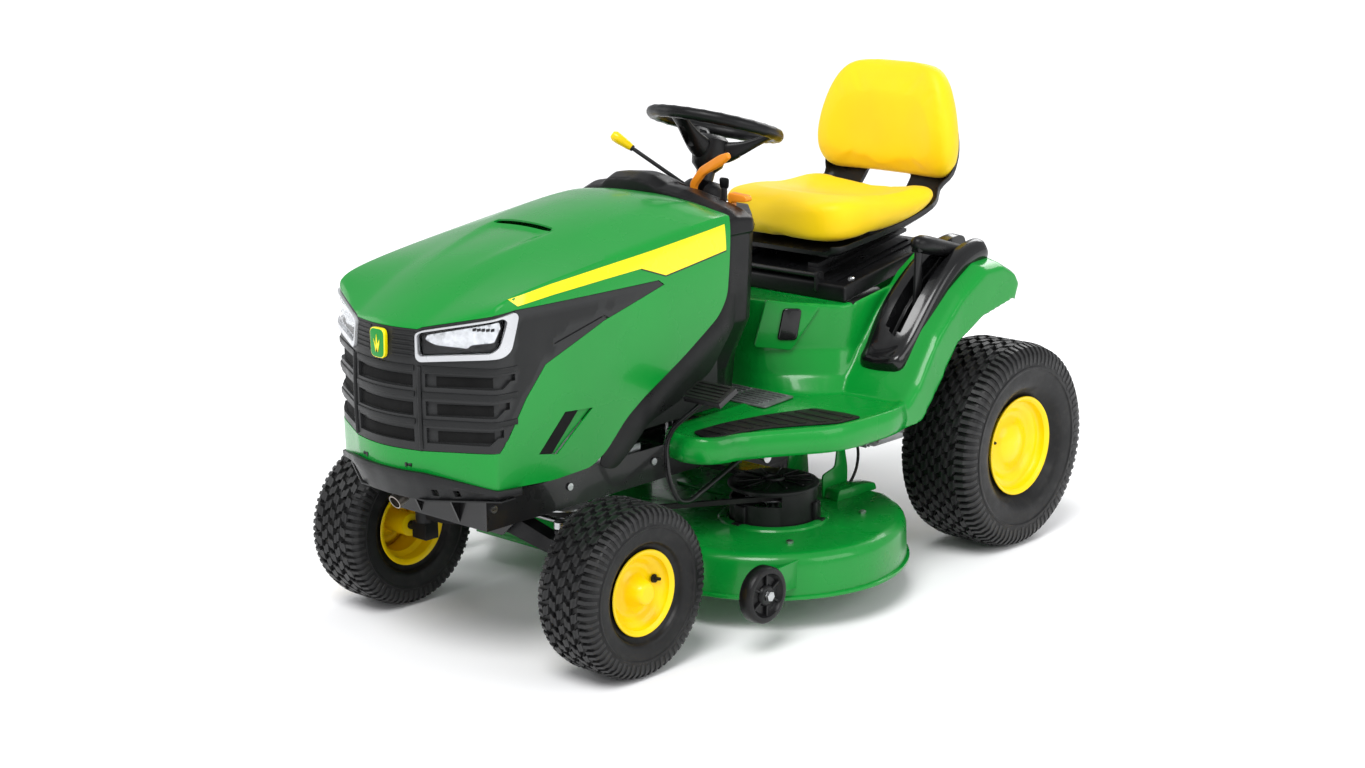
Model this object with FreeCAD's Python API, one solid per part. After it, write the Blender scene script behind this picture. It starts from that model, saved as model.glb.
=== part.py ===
import FreeCAD, Part
import math
import os

# Riding lawn mower, every sub-part as its own solid, in millimetres.
# Design axes: the front is -Y, the driver's left is +X, Z is up, the ground is z = 0, x = 0 is the
# machine's centre plane and y = 0 is half-way between the axles. save() moves every shape so that
# the origin of the files is on the ground, under the middle of the machine's outer box.

V = FreeCAD.Vector

# ---- driving dimensions -----------------------------------------------------------------------
WHEELBASE = 1247.0
FRONT_Y = -WHEELBASE / 2
REAR_Y = WHEELBASE / 2
FRONT_TYRE_R = 184.0
FRONT_TYRE_W = 152.0
FRONT_TRACK_X = 360.0
REAR_TYRE_R = 248.0
REAR_TYRE_W = 204.0
REAR_TRACK_X = 397.0
NOSE_Y = -958.0
CHUTE_X = -700.0
DECK_X = 555.0
TAIL_Y = REAR_Y + REAR_TYRE_R
ORIGIN = V((CHUTE_X + DECK_X) / 2, (NOSE_Y + TAIL_Y) / 2, 0)

RUN = 0.05                      # radial clearance of a running fit
RAIL_X = 140.0                  # inner face of a frame rail
RAIL_T = 5.0
RAIL_Z0 = 300.0
RAIL_Z1 = 370.0
RAIL_FRONT = -800.0
RAIL_REAR = 740.0
AXLE_PIVOT_Z = 262.0            # rocking pin of the front axle
AXLE_PIN_R = 10.0
KINGPIN_X = 250.0
KINGPIN_R = 10.0
STUB_R = 9.5
DRAG_Z = 282.0                  # height of the drag link
TIE_Z = 250.0                   # height of the tie rod, below its steering arms
TIE_ARM = 90.0
DRAG_ARM = 70.0
STUD_R = 6.0
ENGINE_Y = -440.0
DECK_BELT_Z = 241.0
DRIVE_BELT_Z = 346.0
BELT_HALF = 5.0                 # half the thickness of a belt
ENGINE_PULLEY_R = 50.0
DECK_PULLEY_R = 60.0
AXLE_PULLEY_R = 70.0
TRANSAXLE_Y = 600.0
HALF_SHAFT_R = 12.5
SPINDLE_X = 262.0
SPINDLE_Y = -30.0
BLADE_R = 252.0
DECK_TOP = 180.0
DECK_LIP = 80.0
FLOOR_Z = 426.0                 # top of the foot boards
COLUMN_TILT = 17.31
COLUMN_JOINT = V(0, -96, 500)   # ball joint between the two steering shafts
WHEEL_CENTRE = V(0, 72, 1039)
TOOTH_MODULE = 2.5
PINION_TEETH = 14
SECTOR_TEETH = 70
SECTOR_DIR = 242.0              # direction from the sector's pivot to the pinion, degrees
HOOD_PIVOT_Y = -934.0
HOOD_PIVOT_Z = 460.0
SEAT_PIVOT_Y = 258.0
SEAT_PIVOT_Z = 677.0
SEAT_SLOPE = math.tan(math.radians(10))
PEDAL_Y = -105.0
PEDAL_Z = 342.0
LIFT_X = 340.0
LIFT_Y = 380.0
LIFT_Z = 430.0
LIFT_SHAFT_Y = 240.0
LIFT_SHAFT_Z = 280.0
CHUTE_HINGE_X = -545.0
CHUTE_HINGE_Z = 190.0
GAUGE_Y = -360.0
GAUGE_Z = 135.0
GAUGE_R = 62.0


# ---- small shape helpers ----------------------------------------------------------------------
def box(x0, x1, y0, y1, z0, z1):
    return Part.makeBox(x1 - x0, y1 - y0, z1 - z0, V(x0, y0, z0))


def rod(start, end, radius):
    along = end - start
    return Part.makeCylinder(radius, along.Length, start, along)


def tube(start, end, outer, inner):
    return rod(start, end, outer).cut(rod(start, end, inner))


def plane_points(points, axis, level):
    """Polygon points of a section: (y, z) across x, (x, z) across y, (x, y) across z."""
    if axis == "x":
        return [V(level, a, b) for a, b in points]
    if axis == "y":
        return [V(a, level, b) for a, b in points]
    return [V(a, b, level) for a, b in points]


def polygon(points, axis, level):
    corners = plane_points(points, axis, level)
    return Part.Wire(Part.makePolygon(corners + [corners[0]]))


def prism(points, axis, low, high):
    span = {"x": V(high - low, 0, 0), "y": V(0, high - low, 0), "z": V(0, 0, high - low)}[axis]
    return Part.Face(polygon(points, axis, low)).extrude(span)


def inset(points, margin):
    """The same outline in the z plane, moved inwards by a margin."""
    face = Part.Face(polygon(points, "z", 0)).makeOffset2D(-margin, 2)
    return [(v.X, v.Y) for v in face.OuterWire.OrderedVertexes]


def strip(points, thickness):
    """Closed outline of a bent sheet: the line itself, then the line moved to its right."""
    moved = []
    count = len(points)
    for i in range(count):
        before = points[max(i - 1, 0)]
        after = points[min(i + 1, count - 1)]
        length = math.hypot(after[0] - before[0], after[1] - before[1])
        normal = ((after[1] - before[1]) / length, -(after[0] - before[0]) / length)
        moved.append((points[i][0] + thickness * normal[0], points[i][1] + thickness * normal[1]))
    return list(points) + moved[::-1]


def fuse(shapes):
    result = shapes[0]
    for shape in shapes[1:]:
        result = result.fuse(shape)
    return result.removeSplitter()


def mirrored(shape):
    return shape.mirror(V(0, 0, 0), V(1, 0, 0))


def both(shape):
    return [shape, mirrored(shape)]


def turned(profile, centre, axis):
    """Revolve a closed (along, radius) outline about a line through centre."""
    if axis == "x":
        corners = [centre + V(a, 0, r) for a, r in profile]
        direction = V(1, 0, 0)
    else:
        corners = [centre + V(r, 0, a) for a, r in profile]
        direction = V(0, 0, 1)
    wire = Part.Wire(Part.makePolygon(corners + [corners[0]]))
    return Part.Face(wire).revolve(centre, direction, 360)


def capsule(p, q, width, z0, z1):
    """A flat arm with round ends between two points in plan."""
    ends = [Part.makeCylinder(width / 2, z1 - z0, V(x, y, z0)) for x, y in (p, q)]
    length = math.hypot(q[0] - p[0], q[1] - p[1])
    nx, ny = -(q[1] - p[1]) / length * width / 2, (q[0] - p[0]) / length * width / 2
    side = [(p[0] + nx, p[1] + ny), (q[0] + nx, q[1] + ny), (q[0] - nx, q[1] - ny), (p[0] - nx, p[1] - ny)]
    return fuse(ends + [prism(side, "z", z0, z1)])


def bent_rod(points, radius, factor=0.45):
    """A round bar along straight runs joined by tangent arcs as large as the runs allow."""
    edges = []
    start = points[0]
    for i in range(1, len(points) - 1):
        back = points[i - 1] - points[i]
        ahead = points[i + 1] - points[i]
        shorter = min(back.Length, ahead.Length) * factor
        back.normalize()
        ahead.normalize()
        enter = points[i] + back * shorter
        leave = points[i] + ahead * shorter
        half_turn = (math.pi - back.getAngle(ahead)) / 2
        bend = shorter / math.tan(half_turn)
        towards = (back + ahead).normalize()
        centre = points[i] + towards * math.hypot(bend, shorter)
        edges.append(Part.LineSegment(start, enter).toShape())
        edges.append(Part.Arc(enter, centre - towards * bend, leave).toShape())
        start = leave
    edges.append(Part.LineSegment(start, points[-1]).toShape())
    path = Part.Wire(edges)
    along = points[1] - points[0]
    circle = Part.Wire(Part.Circle(points[0], along, radius).toShape())
    return path.makePipeShell([circle], True, False)


def solids(shapes):
    return Part.Compound([s for shape in shapes for s in shape.Solids])


def save(name, shape):
    moved = shape.copy()
    moved.translate(-ORIGIN)
    moved.exportStep("parts/" + name + ".step")


# ---- frame ------------------------------------------------------------------------------------
def frame_rails():
    web = box(RAIL_X, RAIL_X + RAIL_T, RAIL_FRONT, RAIL_REAR, RAIL_Z0, RAIL_Z1)
    flange = box(RAIL_X - 22, RAIL_X, RAIL_FRONT, RAIL_REAR, RAIL_Z1 - 4, RAIL_Z1)
    hanger = box(RAIL_X + RAIL_T, RAIL_X + 2 * RAIL_T, LIFT_SHAFT_Y - 25, LIFT_SHAFT_Y + 25, 262, 365)
    shaft_hole = rod(V(RAIL_X, LIFT_SHAFT_Y, LIFT_SHAFT_Z), V(160, LIFT_SHAFT_Y, LIFT_SHAFT_Z), 10 + RUN)
    rail = fuse([web, flange, hanger]).cut(shaft_hole)
    return solids(both(rail))


def hood_hinge_arm():
    outline = [(RAIL_FRONT, 305), (RAIL_FRONT, 366), (-850, 468), (HOOD_PIVOT_Y, 467), (-940, 463),
               (-940, 456),
               (HOOD_PIVOT_Y, 453), (-868, 450)]
    plate = prism(outline, "x", 58, 63)
    pin = rod(V(56, HOOD_PIVOT_Y, HOOD_PIVOT_Z), V(74, HOOD_PIVOT_Y, HOOD_PIVOT_Z), 4)
    return fuse([plate, pin])


def sector_pivot():
    reach = TOOTH_MODULE * (SECTOR_TEETH - PINION_TEETH) / 2
    angle = math.radians(SECTOR_DIR)
    return V(-reach * math.cos(angle), COLUMN_JOINT.y - reach * math.sin(angle), 0)


def cross_members():
    inner = RAIL_X
    front_plate = box(-inner, inner, RAIL_FRONT, RAIL_FRONT + 6, RAIL_Z0, RAIL_Z1 - 4)
    front = fuse([front_plate] + both(hood_hinge_arm()))
    ear_outline = [(-inner, 330), (-inner, 366), (inner, 366), (inner, 330), (32, 236), (-32, 236)]
    ears = []
    for y in (FRONT_Y - 31.5, FRONT_Y + 26.5):
        pin_hole = rod(V(0, y - 1, AXLE_PIVOT_Z), V(0, y + 6, AXLE_PIVOT_Z), AXLE_PIN_R + RUN)
        ears.append(prism(ear_outline, "y", y, y + 5).cut(pin_hole))
    engine_plate = box(-145, 145, ENGINE_Y - 180, ENGINE_Y + 180, RAIL_Z1, RAIL_Z1 + 6)
    engine_plate = engine_plate.cut(Part.makeCylinder(22, 20, V(0, ENGINE_Y, RAIL_Z1 - 5)))
    pivot = sector_pivot()
    steering_plate = box(-inner, inner, -160, 30, 326, 331)
    for x, y, r in ((0, COLUMN_JOINT.y, 10 + RUN), (pivot.x, pivot.y, 8 + RUN)):
        steering_plate = steering_plate.cut(Part.makeCylinder(r, 20, V(x, y, 320)))
    tail = box(-145, 145, RAIL_REAR, RAIL_REAR + 6, 288, RAIL_Z1)
    drawbar = box(-70, 70, RAIL_REAR + 6, RAIL_REAR + 82, 288, 294)
    hitch_hole = Part.makeCylinder(8, 20, V(0, RAIL_REAR + 60, 280))
    rear = fuse([tail, drawbar]).cut(hitch_hole)
    return solids([front, engine_plate, steering_plate, rear] + ears)


def fasteners():
    pin = rod(V(0, -664, AXLE_PIVOT_Z), V(0, -585, AXLE_PIVOT_Z), AXLE_PIN_R)
    head = rod(V(0, -670, AXLE_PIVOT_Z), V(0, -664, AXLE_PIVOT_Z), 16)
    nut = rod(V(0, -585, AXLE_PIVOT_Z), V(0, -576, AXLE_PIVOT_Z), 15)
    parts = [fuse([pin, head, nut])]
    outside = RAIL_X + RAIL_T
    for y in (-780, -560, -300, 100, 400, 700):
        parts += both(rod(V(outside, y, 345), V(outside + 4, y, 345), 8))
    parts += both(fuse([
        rod(V(outside, PEDAL_Y, PEDAL_Z), V(306, PEDAL_Y, PEDAL_Z), 8),
        rod(V(306, PEDAL_Y, PEDAL_Z), V(310, PEDAL_Y, PEDAL_Z), 12),
    ]))
    parts.append(fuse([
        rod(V(258, LIFT_Y, LIFT_Z), V(354, LIFT_Y, LIFT_Z), 8),
        rod(V(354, LIFT_Y, LIFT_Z), V(358, LIFT_Y, LIFT_Z), 12),
    ]))
    return solids(parts)


# ---- power train ------------------------------------------------------------------------------
def engine_block():
    case = Part.makeCylinder(122, 96, V(0, ENGINE_Y, 376))
    sump = box(-135, 135, ENGINE_Y - 110, ENGINE_Y + 110, 376, 392)
    cylinder = box(-52, 52, -690, ENGINE_Y, 396, 470)
    fins = [box(-74, 74, y, y + 5, 386, 476) for y in range(-688, -570, 13)]
    head = box(-68, 68, -706, -688, 390, 474)
    return fuse([case, sump, cylinder, head] + fins)


def engine_shroud():
    housing = Part.makeCylinder(132, 78, V(0, ENGINE_Y, 480))
    duct = box(-80, 80, -690, ENGINE_Y, 480, 540)
    screen = Part.makeCylinder(88, 24, V(0, ENGINE_Y, 558))
    filter_box = box(-150, -60, -420, -300, 500, 590)
    hollow = Part.makeCylinder(126, 70, V(0, ENGINE_Y, 470))
    return fuse([housing, duct, screen, filter_box]).cut(hollow)


def muffler():
    body = rod(V(-95, -750, 470), V(95, -750, 470), 40)
    pipe_points = [V(-40, -780, 470), V(-40, -832, 462), V(-40, -850, 400), V(-40, -858, 362),
                   V(-40, -888, 348)]
    pipe = bent_rod(pipe_points, 16)
    bore = rod(V(-40, -868, 355), V(-40, -895, 345), 13)
    return fuse([body, pipe]).cut(bore)


def pulley(x, y, z, belt_r):
    core = Part.makeCylinder(belt_r - BELT_HALF - 0.1, 20, V(x, y, z - 10))
    low = Part.makeCylinder(belt_r + 6, 3.5, V(x, y, z - 10))
    high = Part.makeCylinder(belt_r + 6, 3.5, V(x, y, z + 6.5))
    return fuse([core, low, high])


def engine_pulley():
    crank = Part.makeCylinder(12.5, 153, V(0, ENGINE_Y, 222))
    return fuse([crank, pulley(0, ENGINE_Y, DRIVE_BELT_Z, ENGINE_PULLEY_R),
                 pulley(0, ENGINE_Y, DECK_BELT_Z, ENGINE_PULLEY_R)])


def transaxle_pulley():
    shaft = Part.makeCylinder(9, 30, V(0, TRANSAXLE_Y, 331))
    return fuse([shaft, pulley(0, TRANSAXLE_Y, DRIVE_BELT_Z, AXLE_PULLEY_R)])


def transaxle():
    case = box(-100, 100, 545, 690, 188, 330)
    case = case.makeFillet(18, case.Edges)
    housings = both(rod(V(90, REAR_Y, 248), V(268, REAR_Y, 248), 30))
    seals = both(rod(V(268, REAR_Y, 248), V(276, REAR_Y, 248), 22))
    ears = both(box(112, 150, REAR_Y - 34, REAR_Y + 34, 262, RAIL_Z0))
    bores = both(rod(V(104, REAR_Y, 248), V(280, REAR_Y, 248), HALF_SHAFT_R + RUN))
    fins = [box(-60, 60, 560 + 12 * i, 564 + 12 * i, 180, 200) for i in range(10)]
    body = fuse([case] + housings + seals + ears + fins)
    for bore in bores:
        body = body.cut(bore)
    return body


def belt_loop(circles, z, half_height):
    """Flat belt round pulleys given as (x, y, radius), anticlockwise, wrapped on the outside."""
    def hull(extra):
        edges = []
        count = len(circles)
        legs = []
        for i in range(count):
            x0, y0, r0 = circles[i]
            x1, y1, r1 = circles[(i + 1) % count]
            distance = math.hypot(x1 - x0, y1 - y0)
            heading = math.atan2(y1 - y0, x1 - x0)
            side = heading - math.pi / 2 - math.asin((r1 - r0) / distance)
            leg = [V(x + (r + extra) * math.cos(side), y + (r + extra) * math.sin(side), z - half_height)
                   for x, y, r in (circles[i], circles[(i + 1) % count])]
            legs.append((leg, side))
        for i in range(count):
            x, y, r = circles[i]
            before, after = legs[i - 1], legs[i]
            turn = (after[1] - before[1]) % (2 * math.pi)
            middle = before[1] + turn / 2
            mid = V(x + (r + extra) * math.cos(middle), y + (r + extra) * math.sin(middle), z - half_height)
            edges.append(Part.Arc(before[0][1], mid, after[0][0]).toShape())
            edges.append(Part.LineSegment(after[0][0], after[0][1]).toShape())
        return Part.Face(Part.Wire(edges)).extrude(V(0, 0, 2 * half_height))
    return hull(BELT_HALF).cut(hull(-BELT_HALF))


def drive_belt():
    return belt_loop([(0, ENGINE_Y, ENGINE_PULLEY_R), (0, TRANSAXLE_Y, AXLE_PULLEY_R)], DRIVE_BELT_Z, 5)


def deck_belt():
    wheels = [(0, ENGINE_Y, ENGINE_PULLEY_R), (SPINDLE_X, SPINDLE_Y, DECK_PULLEY_R),
              (-SPINDLE_X, SPINDLE_Y, DECK_PULLEY_R)]
    return belt_loop(wheels, DECK_BELT_Z, 5.5)


def fuel_tank():
    tank = box(-120, 120, 300, 560, 440, 600)
    tank = tank.makeFillet(20, tank.Edges)
    neck = Part.makeCylinder(26, 46, V(0, 480, 590))
    return fuse([tank, neck])


def fuel_cap():
    cap = Part.makeCylinder(36, 26, V(0, 480, 630))
    well = Part.makeCylinder(26 + RUN, 7, V(0, 480, 629))
    lugs = [box(30, 40, 474, 486, 632, 654)]
    for i in range(1, 6):
        lug = lugs[0].copy()
        lug.rotate(V(0, 480, 0), V(0, 0, 1), 60 * i)
        lugs.append(lug)
    return fuse([cap] + lugs).cut(well)


# ---- front axle and steering ------------------------------------------------------------------
def front_axle():
    outline = [(228, 250), (165, 252), (40, 284), (-40, 284), (-165, 252), (-228, 250),
               (-228, 216), (-165, 218), (-40, 240), (40, 240), (165, 218), (228, 216)]
    beam = prism(outline, "y", FRONT_Y - 18.5, FRONT_Y + 18.5)
    boss = rod(V(0, FRONT_Y - 25.5, AXLE_PIVOT_Z), V(0, FRONT_Y + 25.5, AXLE_PIVOT_Z), 27)
    tubes = both(Part.makeCylinder(23, 58, V(KINGPIN_X, FRONT_Y, 204)))
    body = fuse([beam, boss] + tubes)
    for hole in both(Part.makeCylinder(KINGPIN_R + RUN, 80, V(KINGPIN_X, FRONT_Y, 190))):
        body = body.cut(hole)
    return body.cut(rod(V(0, FRONT_Y - 30, AXLE_PIVOT_Z), V(0, FRONT_Y + 30, AXLE_PIVOT_Z),
                        AXLE_PIN_R + RUN))


def link_stud(x, y, level):
    """A stud through the steering arm that carries a link eye at the given height."""
    shank = rod(V(x, y, 267), V(x, y, level + math.copysign(10, level - 267)), STUD_R)
    cap = rod(V(x, y, level + math.copysign(8, level - 267)),
              V(x, y, level + math.copysign(11, level - 267)), 9)
    return fuse([shank, cap])


def spindle(with_drag_arm):
    pin = Part.makeCylinder(KINGPIN_R, 106, V(KINGPIN_X, FRONT_Y, 170))
    knuckle = box(KINGPIN_X - 20, KINGPIN_X + 26, FRONT_Y - 18, FRONT_Y + 18, 165, 203)
    stub = rod(V(KINGPIN_X + 20, FRONT_Y, FRONT_TYRE_R), V(427, FRONT_Y, FRONT_TYRE_R), STUB_R)
    washer = rod(V(426, FRONT_Y, FRONT_TYRE_R), V(429, FRONT_Y, FRONT_TYRE_R), 15)
    arm = capsule((KINGPIN_X, FRONT_Y), (KINGPIN_X, FRONT_Y + TIE_ARM), 28, 263, 271)
    nut = Part.makeCylinder(15, 9, V(KINGPIN_X, FRONT_Y, 271))
    parts = [pin, knuckle, stub, washer, arm, nut, link_stud(KINGPIN_X, FRONT_Y + TIE_ARM, TIE_Z)]
    if with_drag_arm:
        tip = (KINGPIN_X - DRAG_ARM, FRONT_Y)
        parts += [capsule((KINGPIN_X, FRONT_Y), tip, 26, 263, 271), link_stud(*tip, DRAG_Z)]
    return fuse(parts)


def link(p, q, level, far_bore):
    """A rod with an eye at each end; the far eye is the open pivot of the closed linkage."""
    direction = V(q[0] - p[0], q[1] - p[1], 0).normalize()
    start = V(p[0], p[1], level) + direction * 11
    end = V(q[0], q[1], level) - direction * 11
    eyes = [Part.makeCylinder(14, 14, V(x, y, level - 7)) for x, y in (p, q)]
    body = fuse([rod(start, end, 6)] + eyes)
    for (x, y), bore in ((p, STUD_R + RUN), (q, far_bore)):
        body = body.cut(Part.makeCylinder(bore, 40, V(x, y, level - 20)))
    return body


def tie_rod():
    return link((KINGPIN_X, FRONT_Y + TIE_ARM), (-KINGPIN_X, FRONT_Y + TIE_ARM), TIE_Z, STUD_R + 0.3)


def drag_link():
    pivot = sector_pivot()
    return link((KINGPIN_X - DRAG_ARM, FRONT_Y), (pivot.x - DRAG_ARM, pivot.y), DRAG_Z, STUD_R + 1.6)


def involute(angle):
    return math.tan(angle) - angle


def gear_outline(teeth, outside, root, thicker, first):
    """Straight-sided copy of an involute gear's outline, with a tooth centred on angle first."""
    pitch = TOOTH_MODULE * teeth / 2
    pressure = math.radians(20)
    base = pitch * math.cos(pressure)
    half = math.pi / (2 * teeth) + thicker / (2 * pitch)
    steps = 5
    low = max(base, root)
    flank = []
    for i in range(steps + 1):
        r = low + (outside - low) * i / steps
        flank.append((r, half + involute(pressure) - involute(math.acos(min(base / r, 1.0)))))
    if root < low:
        flank.insert(0, (root, flank[0][1]))
    points = []
    for tooth in range(teeth):
        centre = first + 2 * math.pi * tooth / teeth
        for r, offset in flank:
            points.append((r, centre - offset))
        for r, offset in reversed(flank):
            points.append((r, centre + offset))
    return [(r * math.cos(a), r * math.sin(a)) for r, a in points]


def steering_shaft():
    x, y = COLUMN_JOINT.x, COLUMN_JOINT.y
    first = math.radians(SECTOR_DIR)
    pitch = TOOTH_MODULE * PINION_TEETH / 2
    teeth = gear_outline(PINION_TEETH, pitch + 2.0, pitch - 2.5, -0.12, first)
    pinion = prism([(x + a, y + b) for a, b in teeth], "z", 302, 318)
    shaft = Part.makeCylinder(10, 186, V(x, y, 298))
    collar = Part.makeCylinder(15, 6, V(x, y, 331.5))
    bell = Part.makeCylinder(24, 32, V(x, y, 476))
    return fuse([pinion, shaft, collar, bell]).cut(Part.makeSphere(16 + 0.3, COLUMN_JOINT))


def wedge(centre, radius, start, end, z0, z1):
    corners = [(centre.x, centre.y)]
    for i in range(9):
        angle = math.radians(start + (end - start) * i / 8)
        corners.append((centre.x + radius * math.cos(angle), centre.y + radius * math.sin(angle)))
    return prism(corners, "z", z0, z1)


def sector_gear():
    pivot = sector_pivot()
    pitch = TOOTH_MODULE * SECTOR_TEETH / 2
    window = 56.0
    cutter = gear_outline(SECTOR_TEETH, pitch + 2.5, pitch - 2.0, 0.12, math.radians(SECTOR_DIR))
    cutter = prism([(pivot.x + a, pivot.y + b) for a, b in cutter], "z", 300, 320)
    cutter = cutter.common(wedge(pivot, 130, SECTOR_DIR - window, SECTOR_DIR + window, 300, 320))
    plate = Part.makeCylinder(pitch + 14.5, 12, V(pivot.x, pivot.y, 304))
    plate = plate.common(wedge(pivot, 150, SECTOR_DIR - 72, SECTOR_DIR + 66, 300, 320)).cut(cutter)
    hub = Part.makeCylinder(22, 21, V(pivot.x, pivot.y, 304))
    pin = Part.makeCylinder(8, 34, V(pivot.x, pivot.y, 304))
    shank = Part.makeCylinder(STUD_R, 36, V(pivot.x - DRAG_ARM, pivot.y, 268))
    cap = Part.makeCylinder(9, 4, V(pivot.x - DRAG_ARM, pivot.y, 265))
    return fuse([plate, hub, pin, shank, cap])


def steering_wheel():
    major, minor = 146.0, 13.5
    rim = Part.makeTorus(major, minor)
    hub = Part.makeCylinder(34, 62, V(0, 0, -96))
    cap = Part.makeCone(34, 26, 10, V(0, 0, -34))
    spoke_line = [(18, -92), (60, -74), (104, -36), (134, -8), (144, 0), (140, 9), (126, 6), (92, -22),
                  (52, -44), (18, -52)]
    spokes = []
    for angle in (35, 145, 270):
        spoke = prism(spoke_line, "y", -22, 22)
        spoke.rotate(V(0, 0, 0), V(0, 0, 1), angle)
        spokes.append(spoke)
    wheel = fuse([rim, hub, cap] + spokes)
    wheel.rotate(V(0, 0, 0), V(1, 0, 0), -COLUMN_TILT)
    wheel.translate(WHEEL_CENTRE)
    axis = (COLUMN_JOINT - WHEEL_CENTRE).normalize()
    shaft = rod(COLUMN_JOINT, WHEEL_CENTRE + axis * 80, STUB_R)
    return fuse([wheel, shaft, Part.makeSphere(16, COLUMN_JOINT)])


# ---- wheels -----------------------------------------------------------------------------------
def tyre(x, y, radius, width, seat):
    """Hollow tyre: round tread, bulging side walls and two beads on the rim."""
    half = width / 2
    outer = [(-half * 0.72, seat), (-half * 0.73, seat + 12), (-half * 0.95, radius * 0.62),
             (-half, radius * 0.76),
             (-half * 0.93, radius * 0.91), (-half * 0.70, radius * 0.985), (-half * 0.35, radius)]
    wall = 9.0
    inner = [(-half * 0.60, seat), (-half * 0.61, seat + 14), (-half * 0.95 + wall, radius * 0.63),
             (-half + wall, radius * 0.76), (-half * 0.93 + wall, radius * 0.91 - 4),
             (-half * 0.66, radius * 0.985 - 12), (-half * 0.35, radius - 13)]
    right = [(-a, r) for a, r in outer[::-1]]
    left_inner = [(-a, r) for a, r in inner]
    return turned(outer + right + left_inner + inner[::-1], V(x, y, radius), "x")


def rim(x, y, axle_z, width, seat, disc, hub_start, hub_end, bore):
    """Pressed rim with a drop centre, flanges, a dished disc and a hub tube."""
    half = width / 2
    wall = 3.0
    side = half * 0.83
    barrel = [(-side, seat + 6), (-half * 0.77, seat + 6), (-half * 0.75, seat), (-half * 0.4, seat - 1),
              (-half * 0.3, seat - 12),
              (half * 0.3, seat - 12), (half * 0.4, seat - 1), (half * 0.75, seat), (half * 0.77, seat + 6),
              (side, seat + 6),
              (side, seat + 3), (half * 0.80, seat + 2), (half * 0.78, seat - wall),
              (half * 0.42, seat - 4), (half * 0.32, seat - 15),
              (-half * 0.32, seat - 15), (-half * 0.42, seat - 4), (-half * 0.78, seat - wall),
              (-half * 0.80, seat + 2), (-side, seat + 3)]
    dish = [(disc, 20), (disc - 10, seat * 0.55), (disc - 4, seat - 8), (disc + 2, seat - 2),
            (disc + 5, seat - 2),
            (disc, seat - 10), (disc - 6, seat * 0.55), (disc + 4, 20)]
    centre = V(x, y, axle_z)
    hub = tube(V(hub_start, y, axle_z), V(hub_end, y, axle_z), 24, bore)
    return fuse([turned(barrel, centre, "x"), turned(dish, centre, "x"), hub])


def front_rim():
    return rim(FRONT_TRACK_X, FRONT_Y, FRONT_TYRE_R, FRONT_TYRE_W, 84, 30, 300, 425, STUB_R + RUN)


def rear_rim():
    wheel = rim(REAR_TRACK_X, REAR_Y, REAR_TYRE_R, REAR_TYRE_W, 112, 40, 300, 462, HALF_SHAFT_R)
    shaft = rod(V(106, REAR_Y, REAR_TYRE_R), V(464, REAR_Y, REAR_TYRE_R), HALF_SHAFT_R)
    return fuse([wheel, shaft])


# ---- body work --------------------------------------------------------------------------------
def fender_line():
    return [(200, FLOOR_Z), (240, 470), (330, 565), (440, 655), (540, 712), (620, 722), (680, 692),
            (700, 640)]


def foot_board_outline():
    return [(190, -335), (255, -348), (320, -328), (355, -262), (395, -180), (440, -100), (475, -40),
            (478, 170), (445, 250),
            (190, 250)]


def pedestal_outline():
    front = [(105, 100), (250, 265), (258, 300), (258, 690)]
    return front + [(-x, y) for x, y in front[::-1]]


def fender_deck():
    board = foot_board_outline()
    top = prism(board, "z", FLOOR_Z - 5, FLOOR_Z)
    lip = prism(board, "z", 366, FLOOR_Z - 5).cut(prism(inset(board, 5), "z", 360, FLOOR_Z))
    step = box(-195, 195, -150, 120, FLOOR_Z - 5, FLOOR_Z).cut(box(-32, 32, -140, -52, 400, 440))
    body_outline = pedestal_outline()
    pedestal = prism(body_outline, "z", FLOOR_Z - 5, 720)
    profile = [(90, 410), (90, 637), (250, 617), (700, 697), (700, 410)]
    pedestal = pedestal.common(prism(profile, "x", -300, 300))
    hollow = prism(inset(body_outline, 5), "z", 400, 760)
    hollow_profile = [(90, 395), (90, 632), (250, 612), (262, 612), (262, 770), (700, 770), (700, 395)]
    pedestal = pedestal.cut(hollow.common(prism(hollow_profile, "x", -300, 300)))
    line = fender_line()
    roof = prism(strip(line, 5), "x", 256, 430)
    side = line + [(655, 610), (520, 585), (410, 526), (328, 430), (273, 378), (217, 366), (200, 380)]
    side = prism(side, "x", 428, 433)
    wings = both(fuse([roof, side]))
    console_hole = prism([(236, 440), (236, 500), (560, 760), (610, 760), (610, 650)], "x", 296, 374)
    wings[0] = wings[0].cut(console_hole)
    return fuse([top, lip, mirrored(top), mirrored(lip), step, pedestal] + wings)


def foot_mats():
    mat = [(250, -290), (300, -308), (332, -262), (345, -150), (452, 40), (452, 60), (322, 42), (262, -170)]
    left = prism(mat, "z", FLOOR_Z, FLOOR_Z + 3)
    centre = box(-170, 170, 12, 92, FLOOR_Z, FLOOR_Z + 3)
    return solids(both(left) + [centre])


def lift_console():
    line = [(242, 476), (330, 569), (440, 659), (540, 716), (598, 722)]
    outline = strip(line, 26)
    body = prism(outline, "x", 297, 373)
    slot = box(LIFT_X - 10, LIFT_X + 10, 262, 425, 400, 800)
    channel = prism([(398, 731), (660, 662), (660, 800), (380, 800)], "x", LIFT_X - 21, LIFT_X + 21)
    return body.cut(slot).cut(channel)


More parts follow.
